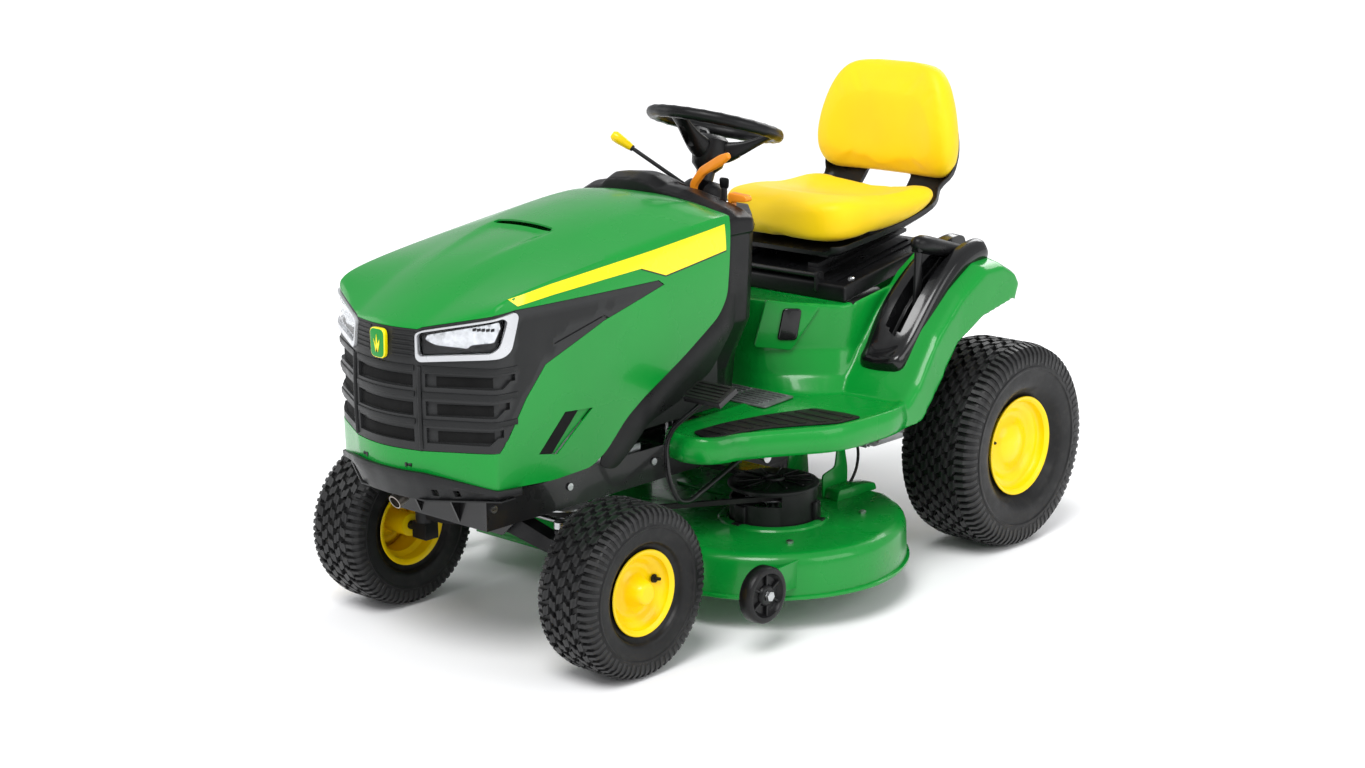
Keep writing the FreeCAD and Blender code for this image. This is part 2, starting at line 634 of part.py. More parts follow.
def tower_solid(margin, floor):
    profile = [(-148 + margin, floor), (-148 + margin, 902 - margin), (-60, 894 - margin),
               (40 - margin, 876 - margin),
               (62 - margin, 856 - margin), (50 - margin, 800), (20 - margin, 640), (6 - margin, floor)]
    width = [(-150 + margin, floor), (-165 + margin, 520), (-232 + margin, 640), (-238 + margin, 920),
             (238 - margin, 920), (232 - margin, 640), (165 - margin, 520), (150 - margin, floor)]
    plan = [(-240, -150), (240, -150), (240 - margin, -72 - margin), (130 - margin, 66),
            (-130 + margin, 66),
            (-240 + margin, -72 - margin)]
    solid = prism(profile, "x", -245, 245).common(prism(width, "y", -200, 100))
    return solid.common(prism(plan, "z", 300, 1000))


def dash_tower():
    shell = tower_solid(0, FLOOR_Z).cut(tower_solid(4, FLOOR_Z - 20))
    skirt = [(-130, 730), (-150, 722), (-166, 676), (-192, 656), (-300, 592), (-436, 526), (-488, 492),
             (-540, 440), (-553, 402),
             (-505, 386), (-440, 432), (-400, 470), (-300, 502), (-200, 560), (-130, 620)]
    skirts = both(prism(skirt, "x", 226, 230))
    body = fuse([shell] + skirts)
    axis = (WHEEL_CENTRE - COLUMN_JOINT).normalize()
    body = body.cut(rod(COLUMN_JOINT, WHEEL_CENTRE + axis * 40, 10 + RUN))
    for x0, x1, y0, y1 in ((-70, -28, -20, 64), (14, 34, -70, 12), (148, 166, -80, -20)):
        body = body.cut(box(x0, x1, y0, y1, 846, 930))
    return body.cut(rod(V(118, -30, 860), V(118, -30, 930), 7 + RUN))


def front_bumper():
    plan = [(105, NOSE_Y), (246, -852), (246, -800)]
    outer = plan + [(-x, y) for x, y in plan[::-1]]
    inner_plan = [(92, NOSE_Y + 34), (214, -838), (214, -790)]
    inner = inner_plan + [(-x, y) for x, y in inner_plan[::-1]]
    band = prism(outer, "z", 384, 442).cut(prism(inner, "z", 380, 450))
    trim = prism([(-970, 438), (NOSE_Y, 438), (-852, 406), (-780, 400), (-780, 470), (-970, 470)], "x",
                 -300, 300)
    band = band.cut(trim)
    struts = both(box(88, 112, -930, RAIL_FRONT, 350, 388))
    return fuse([band] + struts)


# Hood sections, front to rear: distance, half width, height of the crown, height of the shoulder.
HOOD_STATIONS = [(-950, 100, 748, 738), (-845, 238, 818, 800), (-600, 256, 888, 838), (-300, 256, 926, 878),
                 (-157, 251, 916, 882)]


def hood_solid(margin, front, rear):
    wires = []
    for i, (y, half, crown, shoulder) in enumerate(HOOD_STATIONS):
        place = y
        if i == 0:
            place = y + front
        if i == len(HOOD_STATIONS) - 1:
            place = y + rear
        half -= margin
        right = [(half, 380), (half, shoulder - 28 - margin), (half - 22, shoulder - margin),
                 (half * 0.42, crown - margin)]
        section = right + [(-x, z) for x, z in right[::-1]]
        wires.append(polygon(section, "y", place))
    return Part.makeLoft(wires, True, True)


def hood_lower_cut():
    line = [(-980, 380), (-980, 450), (-950, 450), (-862, 420), (-690, 410), (-572, 420), (-540, 450),
            (-490, 505), (-440, 540),
            (-310, 605), (-190, 680), (-172, 722), (-140, 728), (-140, 380)]
    return prism(line, "x", -300, 300)


def light_zone(margin):
    return box(114 - margin, 270, -960, -800 + margin, 702 - margin, 786 + margin)


def grille_zone(margin):
    return box(-270, 270, -960, -800 + margin, 494 - margin, 736 + margin)


def hood_shell():
    shell = hood_solid(0, 0, 0).cut(hood_solid(5, 6, 10)).cut(hood_lower_cut())
    shell = shell.cut(grille_zone(1))
    for zone in both(light_zone(1)):
        shell = shell.cut(zone)
    tab = fuse([
        rod(V(65, HOOD_PIVOT_Y, HOOD_PIVOT_Z), V(70, HOOD_PIVOT_Y, HOOD_PIVOT_Z), 8),
        box(65, 70, -946, HOOD_PIVOT_Y, HOOD_PIVOT_Z - 8, HOOD_PIVOT_Z + 8),
    ]).cut(rod(V(60, HOOD_PIVOT_Y, HOOD_PIVOT_Z), V(75, HOOD_PIVOT_Y, HOOD_PIVOT_Z), 4 + RUN))
    return fuse([shell] + both(tab))


def grille():
    skin = hood_solid(1, 1, 0).cut(hood_solid(14, 16, 10))
    body = skin.common(grille_zone(0))
    for zone in both(light_zone(1)):
        body = body.cut(zone)
    for z in (524, 582, 640):
        body = body.cut(box(-88, 88, -960, -900, z, z + 26))
        for side in both(box(116, 216, -960, -820, z, z + 26)):
            body = body.cut(side)
    return body


def headlights():
    skin = hood_solid(1, 1, 0).cut(hood_solid(18, 20, 10))
    return solids(both(skin.common(light_zone(0))))


# ---- controls ---------------------------------------------------------------------------------
def throttle_lever():
    blade = prism([(16, 872), (32, 872), (34, 912), (60, 938), (112, 972), (120, 990), (104, 992),
                   (48, 956), (18, 920)], "y", -34, -26)
    barrel = rod(V(15, -30, 872), V(33, -30, 872), 6)
    return fuse([blade, barrel])


def pto_lever():
    base = V(-46, 46, 884)
    tip = V(-211, -50, 1011)
    along = (tip - base).normalize()
    stem = rod(base, tip - along * 30, 5)
    knob = fuse([rod(tip - along * 52, tip - along * 8, 11), Part.makeSphere(11, tip - along * 11)])
    barrel = rod(V(-58, 46, 884), V(-34, 46, 884), 8)
    return fuse([stem, knob, barrel])


def park_brake_lever():
    blade = prism([(152, 866), (162, 866), (162, 896), (206, 896), (208, 908), (154, 912)], "y", -56, -44)
    return fuse([blade, rod(V(151, -50, 866), V(163, -50, 866), 7)])


def ignition_key():
    barrel = rod(V(118, -30, 886), V(118, -30, 918), 7)
    bow = box(106, 130, -32, -28, 918, 940)
    return fuse([barrel, bow])


def pedal(x, pad_centre, pad_half_x, pad_half_y):
    eye = tube(V(x - 9, PEDAL_Y, PEDAL_Z), V(x + 9, PEDAL_Y, PEDAL_Z), 13, 8 + RUN)
    px, py, pz = pad_centre
    points = [V(x, PEDAL_Y - 10.5, PEDAL_Z - 3), V(x, -296, 272), V(x, -332, 280), V(x, -366, 340),
              V(x, -372, 440), V(px, py, pz - 4)]
    arm = bent_rod(points, 6)
    pad = box(px - pad_half_x, px + pad_half_x, py - pad_half_y, py + pad_half_y, pz - 6, pz + 6)
    pad.rotate(V(px, py, pz), V(1, 0, 0), 24)
    return fuse([eye, arm, pad])


def brake_pedal():
    return pedal(250, (346, -334, 536), 52, 30)


def forward_pedal():
    return pedal(-250, (-300, -330, 530), 36, 42)


def reverse_pedal():
    return pedal(-290, (-352, -345, 474), 26, 26)


# ---- seat -------------------------------------------------------------------------------------
def seat_platform():
    plate = prism([(250, 618), (250, 662), (600, 724), (600, 682)], "x", -240, 240)
    access = box(-62, 62, 420, 540, 600, 760)
    ears = both(box(152, 158, 248, 268, 655, 688))
    body = fuse([plate.cut(access)] + ears)
    for hole in both(rod(V(150, SEAT_PIVOT_Y, SEAT_PIVOT_Z), V(160, SEAT_PIVOT_Y, SEAT_PIVOT_Z), 6 + RUN)):
        body = body.cut(hole)
    return body


def slope_z(y, lift):
    return 684 + (y - 275) * SEAT_SLOPE + lift


def seat_bracket():
    pin = rod(V(-160, SEAT_PIVOT_Y, SEAT_PIVOT_Z), V(160, SEAT_PIVOT_Y, SEAT_PIVOT_Z), 6)
    plate = prism([(256, slope_z(256, 0)), (600, slope_z(600, 0)), (600, slope_z(600, -8)),
                   (256, slope_z(256, -8))], "x", -148, 148)
    access = box(-62, 62, 420, 540, 650, 800)
    rail = prism([(290, slope_z(290, 0)), (290, slope_z(290, 10)), (590, slope_z(590, 10)),
                  (590, slope_z(590, 0))], "x", 95, 125)
    return fuse([pin, plate.cut(access)] + both(rail))


def seat_line():
    return [(272, 735), (330, 742), (450, 758), (560, 775), (650, 800), (705, 850), (735, 920), (757, 1010),
            (768, 1100)]


def seat_shell():
    shell = prism(strip(seat_line(), 12), "x", -195, 195)
    foot = prism([(330, slope_z(330, 10.4)), (330, 736), (450, 752), (560, 768), (560, slope_z(560, 10.4))],
                 "x", 95, 125)
    return fuse([shell] + both(foot))


def seat_cushion():
    outline = [(276, 737), (330, 743), (450, 759), (560, 776), (650, 801), (682, 830), (676, 848),
               (600, 840), (450, 836), (330, 840),
               (280, 818), (262, 778)]
    body = prism(outline, "x", -210, 210)
    plan = [(-170, 255), (170, 255), (210, 330), (214, 560), (190, 690), (-190, 690), (-214, 560),
            (-210, 330)]
    return body.common(prism(plan, "z", 700, 900))


def seat_backrest():
    outline = [(703, 856), (682, 884), (674, 940), (690, 1040), (712, 1096), (742, 1116), (764, 1108),
               (766, 1096), (754, 1010),
               (732, 920)]
    body = prism(outline, "x", -210, 210)
    front = [(-170, 850), (170, 850), (204, 900), (206, 970), (160, 1090), (120, 1118), (-120, 1118),
             (-160, 1090), (-206, 970),
             (-204, 900)]
    return body.common(prism(front, "y", 600, 800))


# ---- deck lift --------------------------------------------------------------------------------
def lift_grip_axis():
    return V(0, 165, -43).normalize()


def lift_lever():
    eye = tube(V(LIFT_X - 9, LIFT_Y, LIFT_Z), V(LIFT_X + 9, LIFT_Y, LIFT_Z), 14, 8 + RUN)
    stem = bent_rod([V(LIFT_X, LIFT_Y + 2, LIFT_Z + 11), V(LIFT_X, 392, 560), V(LIFT_X, 396, 720),
                     V(LIFT_X, 420, 748)], 7)
    root = V(LIFT_X, 396, 756)
    grip = rod(root, root + lift_grip_axis() * 172, 17)
    socket = rod(root + lift_grip_axis() * 150, root + lift_grip_axis() * 180, 8 + RUN)
    return fuse([eye, stem, grip]).cut(socket)


def lift_button():
    root = V(LIFT_X, 396, 756)
    return rod(root + lift_grip_axis() * 156, root + lift_grip_axis() * 178, 8)


def lift_shaft():
    shaft = rod(V(-164, LIFT_SHAFT_Y, LIFT_SHAFT_Z), V(164, LIFT_SHAFT_Y, LIFT_SHAFT_Z), 10)
    arm = prism([(254, 268), (254, 292), (226, 294), (132, 286), (132, 268), (226, 264)], "x", 151, 157)
    tip = rod(V(151, 142, 277), V(163, 142, 277), 6)
    return fuse([shaft] + both(arm) + both(tip))


# ---- mowing deck ------------------------------------------------------------------------------
def deck_outline(margin):
    """Plan of the deck: straight front and rear, round left end, squarer discharge end."""
    left = [(300, -330 + margin), (490 - margin, -215), (DECK_X - margin, -30)]
    back = [(DECK_X - margin, -30), (492 - margin, 165), (330, 300 - margin)]
    z = DECK_LIP
    edges = [
        Part.Arc(*[V(x, y, z) for x, y in left]).toShape(),
        Part.Arc(*[V(x, y, z) for x, y in back]).toShape(),
    ]
    corners = [(330, 300 - margin), (-420, 300 - margin), (-540 + margin, 190), (-540 + margin, -190),
               (-400, -330 + margin),
               (300, -330 + margin)]
    for a, b in zip(corners, corners[1:]):
        edges.append(Part.LineSegment(V(a[0], a[1], z), V(b[0], b[1], z)).toShape())
    return Part.Face(Part.Wire(edges))


def gauge_bracket():
    arm = prism([(-190, 108), (-190, 168), (-345, 160), (-378, 148), (-378, 122), (-345, 112)], "x", 482,
                488)
    axle = rod(V(488, GAUGE_Y, GAUGE_Z), V(532, GAUGE_Y, GAUGE_Z), 8)
    nut = rod(V(532, GAUGE_Y, GAUGE_Z), V(539, GAUGE_Y, GAUGE_Z), 12)
    return fuse([arm, axle, nut])


def deck_shell():
    outer = deck_outline(0).extrude(V(0, 0, DECK_TOP - DECK_LIP))
    inner = deck_outline(4).extrude(V(0, 0, DECK_TOP - DECK_LIP - 4))
    shell = outer.cut(inner)
    lip = deck_outline(-8).extrude(V(0, 0, 8)).cut(deck_outline(3).extrude(V(0, 0, 8)))
    lip = lip.common(box(-600, DECK_X, -400, 400, 0, 200))
    outlet = box(-600, -500, -185, 185, 60, DECK_TOP - 4)
    shell = fuse([shell, lip]).cut(outlet)
    housings = both(Part.makeCylinder(38, 78, V(SPINDLE_X, SPINDLE_Y, 124)))
    ears = both(box(168, 173, 120, 205, DECK_TOP - 2, 292))
    rear_bracket = box(254, 259, 150, 240, DECK_TOP - 2, 304)
    hinge = rod(V(CHUTE_HINGE_X, -178, CHUTE_HINGE_Z), V(CHUTE_HINGE_X, 178, CHUTE_HINGE_Z), 4)
    hinge_ears = [box(-550, -534, y, y + 6, DECK_TOP - 6, CHUTE_HINGE_Z + 6) for y in (-178, 172)]
    body = fuse([shell] + housings + ears + [rear_bracket, hinge] + hinge_ears + both(gauge_bracket()))
    for bore in both(Part.makeCylinder(12.5 + RUN, 100, V(SPINDLE_X, SPINDLE_Y, 110))):
        body = body.cut(bore)
    return body


def belt_covers():
    drum = Part.makeCylinder(100, 84, V(SPINDLE_X, SPINDLE_Y, DECK_TOP))
    hollow = Part.makeCylinder(96, 80, V(SPINDLE_X, SPINDLE_Y, DECK_TOP - 0.5))
    brim = Part.makeCylinder(104, 8, V(SPINDLE_X, SPINDLE_Y, DECK_TOP + 76))
    cover = fuse([drum, brim]).cut(hollow)
    slot = box(SPINDLE_X - 150, SPINDLE_X + 78, -200, 200, 229, 253)
    return solids(both(cover.cut(slot)))


def blade():
    x, y = SPINDLE_X, SPINDLE_Y
    bar = box(x - BLADE_R, x + BLADE_R, y - 28, y + 28, 104, 109)
    bar = bar.common(Part.makeCylinder(BLADE_R, 20, V(x, y, 95)))
    lifts = []
    for sign in (1, -1):
        fin = box(x + 150, x + 244, y + 14, y + 28, 109, 117)
        fin.rotate(V(x, y, 0), V(0, 0, 1), 0 if sign > 0 else 180)
        lifts.append(fin)
    shaft = Part.makeCylinder(12.5, 158, V(x, y, 98))
    bolt = Part.makeCylinder(18, 8, V(x, y, 96))
    spacer = Part.makeCylinder(22, 13, V(x, y, 109))
    return fuse([bar, shaft, bolt, spacer, pulley(x, y, DECK_BELT_Z, DECK_PULLEY_R)] + lifts)


def discharge_chute():
    top = prism([(CHUTE_HINGE_X, CHUTE_HINGE_Z - 4), (CHUTE_HINGE_X, CHUTE_HINGE_Z + 4), (CHUTE_X, 158),
                 (CHUTE_X, 152)], "y", -168, 168)
    side = prism([(-556, CHUTE_HINGE_Z - 2), (CHUTE_X, 156), (CHUTE_X, 112), (-556, 122)], "y", 162, 168)
    far = side.mirror(V(0, 0, 0), V(0, 1, 0))
    knuckle = rod(V(CHUTE_HINGE_X, -168, CHUTE_HINGE_Z), V(CHUTE_HINGE_X, 168, CHUTE_HINGE_Z), 8)
    bore = rod(V(CHUTE_HINGE_X, -180, CHUTE_HINGE_Z), V(CHUTE_HINGE_X, 180, CHUTE_HINGE_Z), 4 + RUN)
    return fuse([top, side, far, knuckle]).cut(bore)


def gauge_wheel():
    centre = V(515, GAUGE_Y, GAUGE_Z)
    profile = [(-16, 8 + RUN), (16, 8 + RUN), (16, 22), (6, 24), (6, 44), (16, 48), (16, 56), (12, GAUGE_R),
               (-12, GAUGE_R), (-16, 56),
               (-16, 48), (-6, 44), (-6, 24), (-16, 22)]
    return turned(profile, centre, "x")


def pto_cable():
    route = [(224, 420.6), (227, 380), (240, 340), (260, 304), (270, 265), (262, 228), (240, 201),
             (208, 186)]
    route = [V(268, y, z) for y, z in route]
    for i in range(1, len(route) - 1):
        back = route[i - 1] - route[i]
        ahead = route[i + 1] - route[i]
        half_turn = (math.pi - back.getAngle(ahead)) / 2
        print("cable bend radius", round(0.45 * min(back.Length, ahead.Length) / math.tan(half_turn), 1))
    return bent_rod(route, 3.5)


PARTS = {
    "frame_rails": frame_rails, "frame_cross_members": cross_members, "frame_bolts": fasteners,
    "engine_block": engine_block, "engine_shroud": engine_shroud, "muffler": muffler,
    "engine_pulley": engine_pulley, "transaxle_pulley": transaxle_pulley, "transaxle": transaxle,
    "drive_belt": drive_belt, "deck_belt": deck_belt, "fuel_tank": fuel_tank, "fuel_cap": fuel_cap,
    "front_axle": front_axle, "tie_rod": tie_rod, "drag_link": drag_link,
    "steering_shaft": steering_shaft, "sector_gear": sector_gear, "steering_wheel": steering_wheel,
    "fender_deck": fender_deck, "foot_mats": foot_mats, "lift_console": lift_console,
    "dash_tower": dash_tower, "front_bumper": front_bumper, "hood_shell": hood_shell, "grille": grille,
    "headlights": headlights, "throttle_lever": throttle_lever, "pto_lever": pto_lever,
    "park_brake_lever": park_brake_lever, "ignition_key": ignition_key, "brake_pedal": brake_pedal,
    "forward_pedal": forward_pedal, "reverse_pedal": reverse_pedal, "seat_platform": seat_platform,
    "seat_bracket": seat_bracket, "seat_shell": seat_shell, "seat_cushion": seat_cushion,
    "seat_backrest": seat_backrest, "lift_lever": lift_lever, "lift_button": lift_button,
    "lift_shaft": lift_shaft, "deck_shell": deck_shell, "belt_covers": belt_covers,
    "discharge_chute": discharge_chute, "pto_cable": pto_cable,
}


def save_pairs():
    """Sub-parts that exist once on each side of the machine."""
    front_tyre = tyre(FRONT_TRACK_X, FRONT_Y, FRONT_TYRE_R, FRONT_TYRE_W, 84)
    rear_tyre = tyre(REAR_TRACK_X, REAR_Y, REAR_TYRE_R, REAR_TYRE_W, 112)
    pairs = {"front_{}_tyre": front_tyre, "front_{}_rim": front_rim(), "rear_{}_tyre": rear_tyre,
             "rear_{}_rim": rear_rim(),
             "{}_blade": blade(), "{}_gauge_wheel": gauge_wheel()}
    for pattern, shape in pairs.items():
        save(pattern.format("left"), shape)
        save(pattern.format("right"), mirrored(shape))
    save("left_spindle", spindle(True))
    save("right_spindle", mirrored(spindle(False)))


os.makedirs("parts", exist_ok=True)
for name, make in PARTS.items():
    save(name, make())
save_pairs()
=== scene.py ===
import math

import bmesh
import bpy
from mathutils import Matrix, Vector
from mathutils.bvhtree import BVHTree


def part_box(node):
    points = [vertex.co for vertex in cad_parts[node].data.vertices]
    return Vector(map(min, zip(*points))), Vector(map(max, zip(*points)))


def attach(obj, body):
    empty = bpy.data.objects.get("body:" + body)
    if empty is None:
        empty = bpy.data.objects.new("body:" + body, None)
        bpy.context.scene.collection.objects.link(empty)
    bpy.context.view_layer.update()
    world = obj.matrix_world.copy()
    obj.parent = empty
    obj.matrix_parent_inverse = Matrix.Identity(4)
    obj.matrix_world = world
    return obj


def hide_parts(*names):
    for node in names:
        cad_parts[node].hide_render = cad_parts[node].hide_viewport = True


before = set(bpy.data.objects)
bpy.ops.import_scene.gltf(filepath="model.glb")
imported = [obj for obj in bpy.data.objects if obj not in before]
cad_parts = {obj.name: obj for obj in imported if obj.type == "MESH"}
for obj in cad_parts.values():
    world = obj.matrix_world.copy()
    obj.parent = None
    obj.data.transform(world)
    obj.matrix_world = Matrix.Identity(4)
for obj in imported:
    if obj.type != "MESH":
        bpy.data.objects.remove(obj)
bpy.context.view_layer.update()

# Everything below is laid out in the machine's own axes: x = 0 on its centre plane, y = 0 half-way
# between the axles, front at -y, driver's left at +x. OFFSET takes that layout into the frame.
FRONT_AXLE_Y = -0.6235
REAR_AXLE_Y = 0.6235
axle_low, axle_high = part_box("front_axle")
OFFSET = Vector(((axle_low[0] + axle_high[0]) / 2, (axle_low[1] + axle_high[1]) / 2 - FRONT_AXLE_Y, 0))
COLLECTION = bpy.context.scene.collection
X_AXIS, Y_AXIS, Z_AXIS = (1, 0, 0), (0, 1, 0), (0, 0, 1)
ORIGIN = (0, 0, 0)


# ---- materials --------------------------------------------------------------------------------
def material(name, color, rough, metallic=0.0, coat=0.0, vary=0.12, vary_scale=9.0, grain=0.0,
             grain_scale=900.0, rough_vary=0.08, wear=0.0, dirt=0.0, transmission=0.0, sheen=0.0,
             gloss=0.28, stretch=(1, 1, 1)):
    """A procedural finish: colour and roughness variation, grain, and wear or dust where asked."""
    mat = bpy.data.materials.new(name)
    mat.use_nodes = True
    tree = mat.node_tree
    nodes, link = tree.nodes, tree.links.new
    shader = nodes["Principled BSDF"]
    shader.inputs["Metallic"].default_value = metallic
    shader.inputs["Coat Weight"].default_value = coat
    shader.inputs["Specular IOR Level"].default_value = gloss
    shader.inputs["Coat Roughness"].default_value = 0.06
    shader.inputs["Transmission Weight"].default_value = transmission
    shader.inputs["Sheen Weight"].default_value = sheen
    place = nodes.new("ShaderNodeTexCoord")
    scale = nodes.new("ShaderNodeMapping")
    scale.inputs["Scale"].default_value = stretch
    link(place.outputs["Object"], scale.inputs["Vector"])

    def noise(size, detail=4.0):
        node = nodes.new("ShaderNodeTexNoise")
        node.inputs["Scale"].default_value = size
        node.inputs["Detail"].default_value = detail
        link(scale.outputs["Vector"], node.inputs["Vector"])
        return node.outputs["Fac"]

    def ramp(source, low, high, start, end):
        node = nodes.new("ShaderNodeMapRange")
        node.inputs["From Min"].default_value = low
        node.inputs["From Max"].default_value = high
        node.inputs["To Min"].default_value = start
        node.inputs["To Max"].default_value = end
        link(source, node.inputs["Value"])
        return node.outputs["Result"]

    def mix(factor, a, b):
        node = nodes.new("ShaderNodeMix")
        node.data_type = "RGBA"
        link(factor, node.inputs["Factor"])
        for socket, value in ((node.inputs[6], a), (node.inputs[7], b)):
            if hasattr(value, "links"):
                link(value, socket)
            else:
                socket.default_value = (*value, 1)
        return node.outputs[2]

    def shade(factor):
        return tuple(min(1.0, c * factor) for c in color)

    tint = mix(ramp(noise(vary_scale), 0.35, 0.65, 0, 1), shade(1 - vary), shade(1 + vary))
    if dirt:
        dust = ramp(noise(vary_scale * 3.1, 8.0), 0.5, 0.75, 0, dirt)
        tint = mix(dust, tint, (0.16, 0.15, 0.13))
    if wear:
        geometry = nodes.new("ShaderNodeNewGeometry")
        edges = ramp(geometry.outputs["Pointiness"], 0.54, 0.62, 0, wear)
        tint = mix(edges, tint, tuple(min(1.0, c * 2.2 + 0.04) for c in color))
    link(tint, shader.inputs["Base Color"])
    link(ramp(noise(vary_scale * 2.3), 0.3, 0.7, max(0.02, rough - rough_vary),
              min(1.0, rough + rough_vary)), shader.inputs["Roughness"])
    if grain:
        bump = nodes.new("ShaderNodeBump")
        bump.inputs["Strength"].default_value = grain
        bump.inputs["Distance"].default_value = 0.0006
        link(noise(grain_scale, 2.0), bump.inputs["Height"])
        link(bump.outputs["Normal"], shader.inputs["Normal"])
    return mat


GREEN = material("green_paint", (0.002, 0.270, 0.030), 0.26, coat=0.22, vary=0.05, vary_scale=3, grain=0.05,
                 grain_scale=380, wear=0.12)
GREEN_DARK = material("deck_green_paint", (0.002, 0.225, 0.026), 0.28, coat=0.25, vary=0.08, vary_scale=5,
                      grain=0.08, grain_scale=300)
YELLOW = material("yellow_paint", (0.95, 0.66, 0.0), 0.36, coat=0.2, vary=0.05, vary_scale=6, grain=0.04,
                  grain_scale=420)
VINYL = material("yellow_vinyl", (0.95, 0.64, 0.0), 0.50, vary=0.04, vary_scale=5, grain=0.30,
                 grain_scale=1300, sheen=0.1)
BLACK = material("black_plastic", (0.0045, 0.0045, 0.005), 0.34, gloss=0.25, vary=0.15, grain=0.25,
                 grain_scale=1500, wear=0.25)
GLOSS_BLACK = material("gloss_black_plastic", (0.004, 0.004, 0.0045), 0.20, coat=0.4, vary=0.10, grain=0.06,
                       grain_scale=700)
CHARCOAL = material("charcoal_plastic", (0.010, 0.0105, 0.011), 0.40, vary=0.10, grain=0.30,
                    grain_scale=1700, wear=0.25)
BLACK_PAINT = material("black_paint", (0.0045, 0.0045, 0.005), 0.32, coat=0.3, vary=0.15, grain=0.08,
                       grain_scale=500, wear=0.3)
RUBBER = material("rubber", (0.006, 0.006, 0.006), 0.55, vary=0.20, grain=0.25, grain_scale=800, dirt=0.05)
TYRE = material("tyre_rubber", (0.0055, 0.0055, 0.006), 0.42, vary=0.18, vary_scale=14, grain=0.30,
                grain_scale=700, wear=0.35, dirt=0.06)
STEEL = material("zinc_steel", (0.50, 0.51, 0.52), 0.32, metallic=1.0, vary=0.10, grain=0.15,
                 grain_scale=600, stretch=(1, 1, 14))
IRON = material("cast_iron", (0.012, 0.012, 0.013), 0.55, metallic=0.3, vary=0.2, grain=0.6,
                grain_scale=420, wear=0.3)
ALUMINIUM = material("cast_aluminium", (0.42, 0.43, 0.44), 0.42, metallic=1.0, vary=0.12, grain=0.5,
                     grain_scale=500, dirt=0.2)
EXHAUST = material("exhaust_steel", (0.30, 0.27, 0.24), 0.38, metallic=1.0, vary=0.35, vary_scale=22,
                   grain=0.3, dirt=0.2)
CHROME = material("bright_trim", (0.84, 0.85, 0.86), 0.12, metallic=0.9, vary=0.03)
SILVER = material("silver_trim", (0.60, 0.61, 0.63), 0.28, metallic=0.35, coat=0.3, vary=0.03)
ORANGE = material("orange_plastic", (0.95, 0.30, 0.015), 0.34, coat=0.3, vary=0.06, grain=0.1,
                  grain_scale=900)
STRIPE = material("yellow_stripe", (1.0, 0.82, 0.0), 0.25, coat=0.7, vary=0.02, vary_scale=4)
LENS = material("clear_lens", (0.97, 0.98, 0.99), 0.03, vary=0.0, rough_vary=0.0, transmission=1.0)
LENS.node_tree.nodes["Principled BSDF"].inputs["IOR"].default_value = 1.12
REFLECTOR = material("lamp_reflector", (0.80, 0.81, 0.83), 0.16, metallic=0.8, vary=0.12, vary_scale=60)
PLATE = material("step_plate", (0.22, 0.225, 0.23), 0.40, metallic=0.6, vary=0.2, vary_scale=40, grain=0.4,
                 grain_scale=500, dirt=0.15)
# Near-black painted shade, put where the grille slots and side vents open onto shaded space.
PAINTED_SHADE = material("painted_shade_interior", (0.004, 0.004, 0.004), 0.9, vary=0.1)


# ---- mesh helpers -----------------------------------------------------------------------------
def join(meshes):
    """One bmesh out of several."""
    out = bmesh.new()
    for bm in meshes:
        temp = bpy.data.meshes.new("temp")
        bm.to_mesh(temp)
        bm.free()
        out.from_mesh(temp)
        bpy.data.meshes.remove(temp)
    return out


def copy_of(bm, matrix):
    out = bm.copy()
    bmesh.ops.transform(out, matrix=matrix, verts=out.verts)
    if matrix.determinant() < 0:
        bmesh.ops.reverse_faces(out, faces=out.faces)
    return out


MIRROR = Matrix.Scale(-1, 4, X_AXIS)


def both(bm):
    return join([copy_of(bm, MIRROR), bm])


def turn(bm, centre, axis, degrees):
    place = Matrix.Translation(centre)
    spin = Matrix.Rotation(math.radians(degrees), 4, axis)
    bmesh.ops.transform(bm, matrix=place @ spin @ place.inverted(), verts=bm.verts)
    return bm


def rounded(points, radius, steps=4):
    """A 2-D outline with its corners turned into arcs no larger than the sides allow."""
    out = []
    count = len(points)
    for i in range(count):
        p = Vector(points[i])
        a = Vector(points[i - 1]) - p
        b = Vector(points[(i + 1) % count]) - p
        cut = min(radius, a.length * 0.45, b.length * 0.45)
        start, end = p + a.normalized() * cut, p + b.normalized() * cut
        for k in range(steps + 1):
            t = k / steps
            out.append(tuple(start * (1 - t) ** 2 + p * 2 * t * (1 - t) + end * t ** 2))
    return out


def place3(point, axis, level):
    a, b = point
    return {"x": (level, a, b), "y": (a, level, b), "z": (a, b, level)}[axis]


def prism(points, axis, low, high):
    """An outline in (y, z), (x, z) or (x, y), drawn out along x, y or z."""
    bm = bmesh.new()
    ring = [bm.verts.new(place3(p, axis, low)) for p in points]
    face = bm.faces.new(ring)
    grown = bmesh.ops.extrude_face_region(bm, geom=[face])
    moved = [v for v in grown["geom"] if isinstance(v, bmesh.types.BMVert)]
    step = Vector(place3((0, 0), axis, high - low))
    bmesh.ops.translate(bm, verts=moved, vec=step)
    bmesh.ops.recalc_face_normals(bm, faces=bm.faces)
    return bm


def box(x0, x1, y0, y1, z0, z1, edge=0.002, steps=2):
    return bevel(prism([(x0, y0), (x1, y0), (x1, y1), (x0, y1)], "z", z0, z1), edge, steps)


def bevel(bm, width, steps=2, angle=30):
    sharp = [e for e in bm.edges if len(e.link_faces) == 2 and e.calc_face_angle(0) > math.radians(angle)]
    bmesh.ops.bevel(bm, geom=sharp, offset=width, offset_type="OFFSET", segments=steps, profile=0.5,
                    affect="EDGES", clamp_overlap=True)
    return bm


def rounded_plate(points, corner, axis, low, high, edge, steps=2):
    """A flat plate with rounded corners and softened edges."""
    return bevel(prism(rounded(points, corner), axis, low, high), edge, steps)


